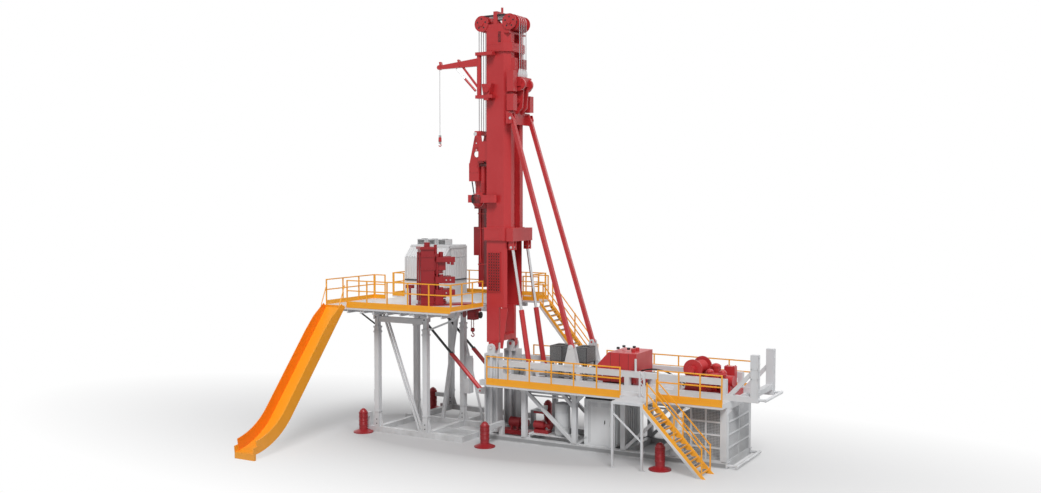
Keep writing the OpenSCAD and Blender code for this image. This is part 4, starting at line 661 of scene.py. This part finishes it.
def fit_top_drive():
    """Pieces on the top drive."""
    trim = Shape("red", "black", "steel")
    gear_x, motor_x, carriage_y = WELL_X + 0.06, WELL_X + 0.2, 0.64
    for side in SIDES:
        for z in (13.3, 13.62):
            trim.boss((-1.06, side * carriage_y, z), (0, side * 0.02, 0), 0.07)
            trim.boss((-1.06, side * 0.66, z), (0, side * 0.015, 0), 0.035, 12, "steel")
        trim.boss((WELL_X, side * carriage_y, 14.05), (0, side * 0.03, 0), 0.09, 16, "steel")
        trim.boss((WELL_X, side * 0.19, 10.56), (0, 0, -2.36), 0.03, 10)
        trim.block(-1.13, side * 0.19, 0.04, 0.03, 8.0, 8.22)
    studs(trim, ring((gear_x, 0, 11.34), 0.345, 16, "z"), UP)
    for z in (10.9, 11.24):
        trim.band(gear_x, 0, z, z + 0.05, 0.4, 32)
    angle = np.radians(np.arange(200, 345, 9.0))
    grille = np.stack([gear_x + 0.385 * np.cos(angle), 0.385 * np.sin(angle), 0 * angle], 1)
    trim.bars(grille + (0, 0, 10.97), grille + (0, 0, 11.22), 0.03, 0.03, "black")
    for y in (-0.23, 0.23):
        for z in np.linspace(11.4, 11.75, 6):
            trim.band(motor_x, y, z, z + 0.02, 0.165)
        trim.turned((motor_x, y, 12.69), (motor_x, y, 12.76), [(0, 0.12), (0.6, 0.12), (1, 0.05)], 20, "black")
    for y in (-0.3, 0.0, 0.3):
        trim.tube(arc((-1.56, y, 12.0), (-1.4, y, 11.1)), 0.028, 8, "black")
    trim.slabs((-1.6, -0.46, 12.25), (-1.1, -0.45, 12.6))
    studs(trim, [(x, -0.46, z) for x in (-1.55, -1.15) for z in (12.3, 12.55)], (0, -1, 0), 0.022)
    trim.slabs((-1.63, -0.3, 12.0), (-1.609, 0.3, 12.55))
    studs(trim, [(-1.63, y, z) for y in (-0.26, 0.26) for z in (12.05, 12.5)], (-1, 0, 0))
    for z in (7.0, 7.9, 9.6, 10.3):
        trim.block(WELL_X, 0, 0.17, 0.17, z, z + 0.06)
    belly = np.array([-0.84, -0.88, 10.62])
    trim.turned(belly, belly + (0, 0, 0.66), [
        (0, 0.06), (0.12, 0.19), (0.35, 0.28), (0.7, 0.3), (0.92, 0.24), (1, 0.1)], 28)
    for angle in np.radians(np.arange(150, 335, 12.0)):
        out = np.array([math.cos(angle), math.sin(angle), 0])
        rib = [belly + reach * out + (0, 0, z) for reach, z in ((0.27, 0.2), (0.305, 0.34), (0.31, 0.46), (0.27, 0.6))]
        trim.tube(rib, 0.018, 6, "black")
    studs(trim, [(x, -1.07, z) for x in (-0.9, -0.5, -0.1) for z in (10.92, 11.14)], (0, -1, 0), 0.024)
    place("top_drive_fittings", trim, "top_drive")


class RIG_OT_top_drive(Operator):
    """Adds the top drive's hoses, grille, ribs and bolts, and the jib's fittings."""

    bl_idname = "rig.top_drive"
    bl_label = "Fit out the top drive and the jib"

    def execute(self, context):
        fit_top_drive()
        fit_jib()
        return {"FINISHED"}


def fit_slide():
    """Slide skins: bands that follow a straight stretch and a bend, raised square to them, and two hand bars."""
    steep, flat, bend = math.radians(50), math.radians(10), 3.6
    head, knee, centre = arrays((-3.98, 5.914), (-7.679, 1.506), (-10.4365, 3.8203))
    angle = np.linspace(steep, flat, 15)
    line = np.concatenate([np.linspace(head, knee, 8)[:-1],
                           centre + bend * np.stack([np.sin(angle), -np.cos(angle)], 1)])
    lean = np.concatenate([np.full(7, steep), angle])
    square = np.stack([-np.sin(lean), np.cos(lean)], 1)
    wall = np.concatenate([[0.3, 0.5], np.full(len(line) - 2, 0.55)])
    skins = Shape("orange", "lane", "yellow")
    # The far wall wears the deeper orange as painted shade; the near wall and the floor wear the slide's orange.
    for x0, x1, low, high, paint in ((-7.372, -7.332, 0.02, wall, "lane"), (-6.306, -6.266, -0.004, wall, "orange"),
                                     (-7.332, -6.306, 0.02, 0.036, "orange")):
        edges = [np.column_stack([np.full(len(line), x), line + square * np.reshape(rise, (-1, 1))])
                 for x, rise in ((x0, high), (x1, high), (x1, low), (x0, low))]
        skins.surface(np.stack(edges, 1), paint, True)
    for x in (-7.352, -6.286):
        skins.rods((x, -3.93, 7.0), (x, -4.36, 6.02), 0.022, 10, "yellow")
    place("slide_skins", skins)


def fit_roughneck():
    """Console, roughneck column fittings and the wrench's rollers in the track's own directions."""
    run, cross = arrays((0.662945, 0.748668, 0), (-0.748668, 0.662945, 0))
    foot = np.array([-2.9, -2.0, FLOOR_Z])

    def at(along, across, up):
        return foot + along * run + across * cross + (0, 0, up)

    column = Shape("deep")
    column.boss((-3.75, -2.26, FLOOR_Z), (0, 0, 0.8), 0.05, 12)
    column.block(-3.75, -2.26, 0.18, 0.1, 6.85, 7.0)
    for up in (0.5, 1.1, 1.7, 2.3):
        column.bars(at(-0.44, 0, up), at(0.234, 0, up), 0.7, 0.07)
    for across in (-0.2, 0.2):
        column.tube(arc(at(-0.45, across, 2.5), at(-0.48, across, 0.25)), 0.03, 8)
    column.rods(at(-0.05, 0, 2.75), at(-0.05, 0, 2.95), 0.14, 16)
    place("roughneck_column_fittings", column)
    wrench = Shape("deep", "black", "steel")
    for up in (0.45, 1.05):
        for across in (-0.35, 0.35):
            wrench.boss(at(0.55, across, up + 0.3), (0, 0, 0.12), 0.09)
            studs(wrench, at(1.05, across, up + 0.3), UP, 0.04, 0.05, "steel")
        for side in SIDES:
            studs(wrench, [at(reach, side * 0.455, up + 0.15) for reach in (0.75, 0.95)], side * cross,
                  0.035, 0.03, "steel")
    wrench.bars(at(0.3, 0, 2.15), at(0.56, 0, 2.15), 0.7, 0.24)
    for up, tall, radius, sides in ((0.1, 0.08, 0.44, 32), (0.2, 0.08, 0.4, 32), (0.36, 0.08, 0.42, 32),
                                    (1.5, 0.05, 0.3, 24), (1.58, 0.05, 0.3, 24)):
        wrench.turned(at(0.44, 0, up), at(0.44, 0, up + tall), [(0, radius), (1, radius)], sides)
    for side in SIDES:
        wrench.boss(at(0.69, side * 0.16, 1.7), (0, 0, 0.5), 0.09, 16, "black")
        wrench.bars(at(0.3, side * 0.34, 2.15), at(1.2, side * 0.34, 2.15), 0.13, 0.24)
        wrench.boss(at(1.08, side * 0.34, 1.9), (0, 0, 0.375), 0.075, 14)
        wrench.boss(at(0.36, side * 0.3, 0.75), (0, 0, 1.55), 0.05, 12)
        wrench.tube(arc(at(0.3, side * 0.3, 2.3), at(0.42, side * 0.24, 1.4), 0.1), 0.022, 8, "black")
    place("roughneck_wrench_fittings", wrench, "roughneck_wrench")


def fit_floor():
    """Pieces on the legs, on the floor's edges and below the floor."""
    trim = Shape("white", "grey", "yellow")
    near_leg = LEGS_Y[0]
    for x, y in product(LEGS_X, LEGS_Y):
        for half, low, high in ((0.15, 4.72, 4.8), (0.15, 4.95, 5.03), (0.19, 5.56, 5.635), (0.15, 5.36, 5.6),
                                (0.145, 0.95, 1.02)):
            trim.block(x, y, half, half, low, high)
        for z, half, radius, sides in ((5.46, 0.17, 0.035, 12), (0.4, 0.14, 0.028, 10), (0.6, 0.14, 0.028, 10)):
            trim.rods((x, y - half, z), (x, y + half, z), radius, sides, "grey")
        for side in SIDES:
            foot = [(x + side * out, y - 0.02, z) for out, z in ((0.125, 0.25), (0.34, 0.25), (0.125, 0.85))]
            trim.plate(foot[::side], (0, 0.04, 0))
    for y in (near_leg, LEGS_Y[2]):
        trim.slabs((LEGS_X[0] - 0.2, y - 0.05, 1.4), (LEGS_X[0] - 0.12, y + 0.05, 2.0))
    trim.bars((-2.42, near_leg, 4.98), (-0.86, near_leg, 5.6), 0.07, 0.08)
    trim.bars((-5.17, near_leg, 5.37), (-2.68, near_leg, 5.37), 0.2, 0.26)
    trim.bars((-2.42, 0.5, 4.1), (-1.35, 0.5, 0.02), 0.09, 0.09)
    trim.bars((-6.3, near_leg, 5.6), (-5.43, near_leg, 5.1), 0.05, 0.06, "grey")
    trim.slabs((-2.69, 0.44, 3.3), (-2.05, 0.56, 3.42))
    trim.slabs((-2.425, 0.46, 2.5), (-2.0, 0.54, 3.3))
    trim.slabs((-2.425, 0.3, 1.6), (-2.1, 0.7, 2.3))
    lattice(trim, (-2.36, -2.51, 0.215), (1.72, 0, 0), (0, 1.12, 0), 0.1, 0.02)
    for y in (-3.93, 4.93):
        trim.slabs((-7.3, y - 0.02, 5.87), (-0.5, y + 0.02, 5.99))
    for x in np.linspace(-6.9, -0.9, 9):
        trim.slabs((x - 0.03, -3.91, 5.7), (x + 0.03, -2.82, 5.985))
    trim.slabs((-6.17, -3.958, 5.96), (-0.4, -3.948, 6.1), "yellow")
    place("floor_fittings", trim)
    chain = Shape("deep", "black")
    z = np.linspace(5.38, 4.86, 40)
    for shift in (-0.07, 0.05):
        path = np.stack([HOIST_X + shift + 0.014 * np.sin(z * 90), HOIST_Y + 0.014 * np.cos(z * 90), z], 1)
        chain.tube(path, 0.016, 6)
    block = [(0, 0.05), (0.2, 0.1), (0.8, 0.1), (1, 0.04)]
    chain.turned((HOIST_X, HOIST_Y, 4.98), (HOIST_X, HOIST_Y, 4.78), block, 16)
    hook(chain, (HOIST_X, HOIST_Y, 4.79), 0.075, 0.026)
    chain.boss((-1.66, HOIST_Y, 5.6), (0.03, 0, 0), 0.16, 20)
    chain.boss((-0.79, HOIST_Y, 5.6), (0.05, 0, 0), 0.16, 20, "black")
    place("gate_hoist_chain", chain)


class RIG_OT_floor(Operator):
    """Adds leg collars, feet, knees, the tray's grid, edge strips, the hoist chain, slide skins and machines."""

    bl_idname = "rig.floor"
    bl_label = "Fit out the drill floor"

    def execute(self, context):
        fit_floor()
        fit_slide()
        fit_roughneck()
        return {"FINISHED"}


def fit_cabin():
    """Pieces on the cabin's walls and roof."""
    skin = Shape("pale", "grey", "white")
    low, near, far, front, rear = 6.87, 2.297, 4.403, -7.253, -4.847
    for corner, along, up in (
            ((front + 0.08, near, low), (2.24, 0, 0), (0, 0, 1.09)),
            ((front + 0.08, near + 0.02, 8.02), (2.24, 0, 0), (0, 0.45, 0.45)),
            ((rear, near + 0.08, low), (0, 1.95, 0), (0, 0, 1.09)),
            ((rear, near + 0.58, 7.99), (0, 1.45, 0), (0, 0, 0.44)),
            ((-5.93, far, low), (-1.25, 0, 0), (0, 0, 1.56))):
        skin.surface(ripple(corner, along, up))
    for x in (front + 0.02, rear - 0.02):
        skin.block(x, near, 0.045, 0.03, 6.055, 8.0)
        skin.block(x, far, 0.045, 0.03, 6.055, 8.5)
        skin.bars((x, near + 0.01, 7.98), (x, near + 0.49, 8.47), 0.09, 0.06)
    skin.slabs((front - 0.02, near - 0.03, 6.79), (rear + 0.02, near + 0.02, 6.86), "grey")
    skin.slabs((rear - 0.02, near, 6.79), (rear + 0.03, far, 6.86), "grey")
    skin.slabs((front + 0.1, near - 0.012, 6.06), (rear - 0.1, near + 0.01, 6.12))
    skin.slabs((front - 0.03, 2.78, 8.46), (rear + 0.03, 2.83, 8.56))
    skin.slabs((rear - 0.01, 2.78, 8.46), (rear + 0.035, far + 0.03, 8.56))
    skin.slabs((-5.93, 4.35, 6.12), (-5.03, 4.39, 8.1), "white")
    skin.boss((-5.8, 4.39, 7.1), (0, 0.06, 0), 0.02, 10, "grey")
    for y0, y1, z0, z1 in ((2.59, 4.11, 6.94, 7.0), (2.59, 4.11, 7.8, 7.86), (2.59, 2.65, 7.0, 7.8),
                           (4.05, 4.11, 7.0, 7.8)):
        skin.slabs((front - 0.035, y0, z0), (front + 0.02, y1, z1), "grey")
    slats = np.linspace(8.68, 8.87, 6)
    for x in (-6.7, -6.05, -5.41):
        skin.bars(*([(x + half, 2.945, z) for z in slats] for half in (-0.2, 0.2)), 0.01, 0.02, "grey")
        skin.boss((x, 3.26, 8.92), (0, 0, 0.015), 0.17, 20, "grey")
    place("cabin_cladding", skin)


class RIG_OT_cabin(Operator):
    """Clads the cabin with ribbed sheets and adds its trims, grilles, door and window frame."""

    bl_idname = "rig.cabin"
    bl_label = "Clad the cabin"

    def execute(self, context):
        fit_cabin()
        return {"FINISHED"}


def fit_stairs():
    """Pieces on both stairs, the landing and the deck's edge."""
    trim = Shape("white", "yellow", "grey")
    for (x0, z0), (x1, z1), near in (((8.65, 2.745), (11.3, 0.0), -3.61), ((0.62, 6.05), (3.42, 2.75), 2.45)):
        slope = (x1 - x0) / (z0 - z1)
        top, bottom = z0 - 0.17, z0 - 0.335
        for y in (near - 0.012, near + 1.06):
            trim.plate([(x0, y, top), (x0, y, bottom), (x0 + (bottom - z1) * slope, y, z1 + 0.005),
                        (x0 + (top - z1) * slope, y, z1 + 0.005)], (0, 0.012, 0))
        steps = math.ceil((z0 - z1) / 0.23)
        share = np.arange(1, steps)[:, None] / steps
        nose = (x0, near, z0 - 0.06) + share * (x1 - x0, 0, z1 - z0)
        trim.slabs(nose + (-0.04, 0.065, -0.045), nose + (0.006, 0.995, 0.006), "yellow")
        for back in (0.09, 0.14, 0.19):
            trim.slabs(nose + (-back - 0.012, 0.065, 0), nose + (-back + 0.012, 0.995, 0.006), "grey")
    trim.bars((7.34, -3.6, 2.25), (8.56, -3.6, 1.2), 0.06, 0.06)
    for x in (7.295, 8.605):
        trim.slabs((x - 0.12, -3.645, 0.0), (x + 0.12, -3.52, 0.03))
    lattice(trim, (7.3, -3.6, DECK_Z + 0.002), (1.3, 0, 0), (0, 1.34, 0), 0.11, 0.012)
    ladder = (7.93, 8.13)
    for x in ladder:
        trim.slabs((x - 0.035, -2.3, 2.76), (x + 0.035, -2.235, 3.85))
    zig = np.stack([np.where(np.arange(6) % 2, *ladder), np.full(6, -2.27), np.linspace(2.8, 3.8, 6)], 1)
    trim.bars(zig[:-1], zig[1:], 0.03, 0.03)
    for start, end in ((0.4, 7.0), (8.65, 11.5)):
        trim.slabs((start, -2.238, 2.64), (end, -2.228, 2.8), "yellow")
    place("stair_fittings", trim)


class RIG_OT_stairs(Operator):
    """Adds side plates and tread edges to both stairs, the landing's fittings and the deck's edge strips."""

    bl_idname = "rig.stairs"
    bl_label = "Fit out the stairs"

    def execute(self, context):
        fit_stairs()
        return {"FINISHED"}


def fit_skid():
    """Pieces on the skid below its deck, the jacks and the cabinet door."""
    trim = Shape("white", "pale", "deep", "black", "mid")
    for x, side in product(POSTS_X, SIDES):
        y = side * 1.49
        trim.block(x, y, 0.17, 0.11, 0.25, 0.275)
        studs(trim, [(x + dx, y + dy, 0.275) for dx in (-0.145, 0.145) for dy in (-0.08, 0.08)], UP, 0.016)
        for turn in SIDES:
            knee = [(x + turn * out, y - 0.015, z) for out, z in ((0.11, 2.2), (0.3, 2.455), (0.11, 2.455))]
            trim.plate(knee[::turn], (0, 0.03, 0))
    for side in SIDES:
        for x in np.arange(0.9, 11.4, 0.75):
            arm = [(x - 0.02, side * out, z) for out, z in ((1.61, 2.46), (DECK_EDGE, 2.545), (1.61, 2.545))]
            trim.plate(arm[::side], (0.04, 0, 0))
        lattice(trim, (9.33, side * 1.572, 0.32), (1.86, 0, 0), (0, 0, 2.07), 0.062, 0.013)
        # Dark strip along the base beams' webs: painted shade in the recess below the top flange.
        trim.slabs((-0.1, side * WEB_SHADE_Y - 0.005, 0.05), (11.45, side * WEB_SHADE_Y + 0.005, 0.2), "mid")
    lattice(trim, (11.452, -1.31, 0.32), (0, 2.62, 0), (0, 0, 2.07), 0.062, 0.013)
    for z in (2.18, 2.32):
        for start, end in ((2.1, 4.4), (6.97, 9.0)):
            trim.rods((start, -1.3, z), (end, -1.3, z), 0.04)
    trim.turned((TANK_X, TANK_Y, 0.42), (TANK_X, TANK_Y, 1.95), [
        (0, 0.2), (0.04, 0.3), (0.1, 0.35), (0.9, 0.35), (0.96, 0.3), (1.0, 0.14)], 32, "pale")
    for z in (0.85, 1.5):
        trim.band(TANK_X, TANK_Y, z, z + 0.05, 0.358, 32)
    for x, y, _ in ring((TANK_X, TANK_Y, 0), 0.24, 4, "z", math.pi / 4):
        trim.block(x, y, 0.03, 0.03, 0.47, 0.6)
    trim.slabs((2.12, -1.4, 0.41), (4.36, -0.62, 0.46))
    for x, y in product((2.14, 4.28), (-1.4, -0.66)):
        trim.slabs((x, y, 0.25), (x + 0.06, y + 0.04, 0.41))
    pump_y, pump_z = -1.0, 0.8
    trim.slabs((2.3, -1.2, 0.46), (3.0, -0.8, 0.62), "deep")
    trim.boss((2.25, pump_y, pump_z), (0.5, 0, 0), 0.19, 24, "deep")
    trim.turned((2.75, pump_y, pump_z), (3.1, pump_y, pump_z), [
        (0, 0.19), (0.2, 0.1), (0.6, 0.1), (0.62, 0.16), (1, 0.16)], 24, "deep")
    pipe = [(x, pump_y, z) for x, z in ((3.0, 0.95), (3.0, 1.2), (2.92, 1.32), (2.6, 1.36), (2.2, 1.36))]
    trim.tube(pipe, 0.05, 12, "deep")
    trim.slabs((4.96, -1.36, 2.285), (6.4, 1.36, 2.42), "black")
    place("skid_fittings", trim)
    feet = Shape("deep")
    thread = np.stack([np.linspace(0, 1, 25), 0.198 + 0.02 * (np.arange(25) % 2)], 1)
    for x, y in JACKS:
        for low, high, profile, sides in (
                (0, 0.16, [(0, 0.47), (0.3, 0.47), (0.45, 0.4), (0.7, 0.3), (1, 0.2)], 24),
                (0.16, 1.125, [(0, 0.2), (0.82, 0.195), (0.93, 0.15), (1, 0.06)], 20), (0.36, 0.96, thread, 20)):
            feet.turned((x, y, low), (x, y, high), profile, sides)
    place("jack_feet", feet)
    door = Shape("black", "white")
    for x in (5.14, 5.2, 6.24):
        door.slabs((x, DOOR_FACE - 0.003, 0.36), (x + 0.008, DOOR_FACE + 0.01, 2.2))
    for x, z in product((5.08, 5.74), np.linspace(1.97, 2.14, 7)):
        door.slabs((x, DOOR_FACE - 0.012, z), (x + 0.48, DOOR_FACE + 0.01, z + 0.012), "white")
    handle = DOOR_FACE - 0.03
    door.boss((5.92, handle, 1.25), (0, 0, 0.15), 0.018, 10)
    for z in (1.26, 1.39):
        door.boss((5.92, handle, z), (0, 0.04, 0), 0.012, 8)
    place("cabinet_door_fittings", door, "cabinet_door")


class RIG_OT_skid(Operator):
    """Adds base plates, gussets, guards, the tank, the pump set, jack feet and the cabinet door's trims."""

    bl_idname = "rig.skid"
    bl_label = "Fit out the skid"

    def execute(self, context):
        fit_skid()
        return {"FINISHED"}


def fit_deck():
    """Pieces on the deck and on the winch drum."""
    trim = Shape("white", "grey", "black", "red", "mid")
    fan_z = 4.362
    for x in (2.72, 3.96):
        for z in np.linspace(3.72, 4.32, 19):
            trim.slabs((x + 0.03, -0.475, z), (x + 0.59, -0.455, z + 0.014), "mid")
            trim.slabs((x + 0.615, -0.43, z), (x + 0.632, 0.43, z + 0.014), "mid")
        for radius in (0.08, 0.15, 0.22):
            loop = ring((x + 0.31, 0, fan_z), radius, 24, "z")
            trim.tube(np.concatenate([loop, loop[:1]]), 0.008, 6, "grey")
        trim.bars((x + 0.06, 0, fan_z), (x + 0.56, 0, fan_z), 0.014, 0.012, "grey")
        trim.bars((x + 0.31, -0.25, fan_z), (x + 0.31, 0.25, fan_z), 0.014, 0.012, "grey")
    for x, y in product((6.1, 6.6), (-0.42, 0.2)):
        trim.boss((x, y, 4.43), (0, 0, 0.09), 0.07, 16, "black")
    for x in (5.95, 6.38, 6.8):
        trim.slabs((x - 0.006, -0.904, 2.85), (x + 0.006, -0.89, 4.3), "black")
    for x in (5.8, 6.2, 6.6, 7.0):
        trim.slabs((x - 0.05, -0.92, 3.55), (x + 0.05, -0.89, 3.62), "black")
    trim.boss((7.22, -1.075, 3.61), (0, 0, 0.54), 0.05, 14)
    for y, high, sag in ((-0.6, 3.45, 0.24), (-0.35, 3.53, 0.3)):
        trim.tube(arc((7.15, y, high), (9.25, y, 3.1), sag, 21), 0.032, 8, "black")
    for x, y, z, r in ((10.4, -0.6, 3.829, 0.15), (10.96, -0.6, 3.829, 0.15), (10.42, 0.1, 3.979, 0.2)):
        trim.turned((x, y, z), (x, y, z + 0.08), [(0, r * 0.95), (0.5, r * 0.8), (1, r * 0.3)], 20, "red")
        for low in np.linspace(z - 0.3, z - 0.05, 5):
            trim.band(x, y, low, low + 0.02, r + 0.02, 20, "red")
    trim.tube([(10.3, -0.75, 3.2), (10.3, -0.85, 3.3), (10.3, -0.88, 3.6), (10.6, -0.88, 3.75),
               (11.2, -0.88, 3.75)], 0.05, 10, "red")
    studs(trim, [(x, y, 3.9) for x in (10.71, 11.06) for y in (0.51, 0.72)], UP, 0.03, 0.03, "red")
    for side in SIDES:
        trim.boss((DRUM_X, side * 0.74, DRUM_Z), (0, side * 0.16, 0), 0.17, 24, "red")
        studs(trim, ring((DRUM_X, side * 0.9, DRUM_Z), 0.13, 8), (0, side, 0), 0.016, 0.015, "red")
        face = side * GIRDER_FACE
        for x in np.arange(1.2, 9.0, 0.9):
            trim.slabs((x - 0.02, face - 0.01, 3.33), (x + 0.02, face + 0.012, 3.6))
        for z in (3.7, 4.1):
            trim.slabs((12.34, face - 0.01, z), (12.655, face + 0.014, z + 0.03))
        for x in (12.345, 12.6):
            trim.slabs((x, face - 0.01, 3.0), (x + 0.05, face + 0.02, 4.69))
        for z in np.linspace(3.15, 4.6, 6):
            trim.slabs((12.65, side * 1.075 - 0.1, z), (12.668, side * 1.075 + 0.1, z + 0.03))
        trim.slabs((11.9, side * 0.96 - 0.02, 3.0), (12.33, side * 0.96 + 0.02, 3.06))
    for y, z in ((-0.62, 2.92), (-0.75, 2.92), (-0.68, 3.06)):
        trim.rods((2.3, y, z), (5.2, y, z), 0.045)
    for x in (2.6, 3.5, 4.4, 5.1):
        trim.slabs((x - 0.03, -0.85, DECK_Z), (x + 0.03, -0.53, 2.88))
        trim.boss((x, -0.62, 2.92), (0, 0, 0.48), 0.04, 12, "mid")
        trim.turned((x, -0.62, 3.4), (x, -0.62, 3.5), [(0, 0.09), (0.5, 0.09), (1, 0.03)], 16, "red")
    for x in (0.9, 1.25):
        trim.slabs((x - 0.15, -0.35, DECK_Z), (x + 0.1, 0.35, 3.25), "mid")
    place("deck_fittings", trim)
    rope = Shape("red")
    turns = 30
    share = np.linspace(0, 1, 4 * turns + 1)
    swell = 0.262 + 0.014 * np.abs(np.sin(np.pi * turns * share))
    rope.turned((DRUM_X, -0.56, DRUM_Z), (DRUM_X, 0.56, DRUM_Z), np.stack([share, swell], 1), 32)
    place("winch_grooves", rope, "winch_drum")


class RIG_OT_deck(Operator):
    """Adds cooler fins, hood fittings, hoses, valves, the winch's motors, the drum's rope and the tail's plates."""

    bl_idname = "rig.deck"
    bl_label = "Fit out the deck"

    def execute(self, context):
        fit_deck()
        return {"FINISHED"}


FLOOR_REACH, CLIP_END, SENSOR = 260.0, 2000, 36


def lay_floor():
    """A level sheet under the rig."""
    sheet = Shape("studio")
    line = np.linspace(-FLOOR_REACH, FLOOR_REACH, 3)
    x, y = np.meshgrid(line, line, indexing="ij")
    sheet.surface(np.stack([x, y, np.zeros_like(x)], -1))
    mesh = place("studio_floor", sheet, None)


def set_surround(scene, studio):
    """White where the camera or a reflection sees it, and a plain soft light otherwise."""
    world = scene.world or bpy.data.worlds.new("studio")
    scene.world = world
    world.use_nodes = True
    world.node_tree.nodes.clear()
    graph = Graph(world.node_tree)
    light, white = (graph.node("ShaderNodeBackground", {"Color": WHITE, "Strength": strength})
                    for strength in (studio.sky, 1.0))
    graph.node("ShaderNodeOutputWorld", {0: graph.blend(graph.seen(), light, white)})


def set_lamps(scene, studio):
    """One broad sun from above the near side and a faint one from the other side."""
    for name, turn, strength, width in (
            ("key", (42, 0, 36), studio.key, 24), ("fill", (52, 0, 170), studio.key * 0.2, 60)):
        lamp = bpy.data.lights.new(name, "SUN")
        lamp.energy, lamp.angle = strength, math.radians(width)
        stand = bpy.data.objects.new(name, lamp)
        stand.rotation_euler = [math.radians(angle) for angle in turn]
        scene.collection.objects.link(stand)


class RIG_OT_studio(Operator):
    """Sets the floor, the lamps, the white surround and the camera."""

    bl_idname = "rig.studio"
    bl_label = "Set the studio"

    def execute(self, context):
        scene, studio = context.scene, context.scene.rig_studio
        scene.view_settings.view_transform = "Standard"
        lay_floor()
        set_surround(scene, studio)
        set_lamps(scene, studio)
        camera = bpy.data.cameras.new("camera")
        camera.lens, camera.sensor_width, camera.clip_end = studio.lens, SENSOR, CLIP_END
        stand = bpy.data.objects.new("camera", camera)
        stand.location, stand.rotation_euler = studio.camera_place, studio.camera_turn
        scene.collection.objects.link(stand)
        scene.camera = stand
        return {"FINISHED"}


class RIG_PT_panel(Panel):
    """Lists the steps that dress the rig."""

    bl_label = "Drilling rig"
    bl_space_type = "VIEW_3D"
    bl_region_type = "UI"
    bl_category = "Rig"

    def draw(self, context):
        for step in STEPS:
            self.layout.operator(step.bl_idname)


STEPS = (
    RIG_OT_paint, RIG_OT_hoist_lines, RIG_OT_mast, RIG_OT_top_drive, RIG_OT_floor, RIG_OT_cabin, RIG_OT_stairs,
    RIG_OT_skid, RIG_OT_deck, RIG_OT_studio)
GROUPS = (RigPaint, RigStudio)


def register():
    for kind in (*GROUPS, *STEPS, RIG_PT_panel):
        bpy.utils.register_class(kind)
    bpy.types.Scene.rig_paint = bpy.props.PointerProperty(type=RigPaint)
    bpy.types.Scene.rig_studio = bpy.props.PointerProperty(type=RigStudio)


def unregister():
    del bpy.types.Scene.rig_paint, bpy.types.Scene.rig_studio
    for kind in reversed((*GROUPS, *STEPS, RIG_PT_panel)):
        bpy.utils.unregister_class(kind)


def main():
    register()
    for step in STEPS:
        getattr(bpy.ops.rig, step.bl_idname.removeprefix("rig."))()


if __name__ == "__main__":
    main()
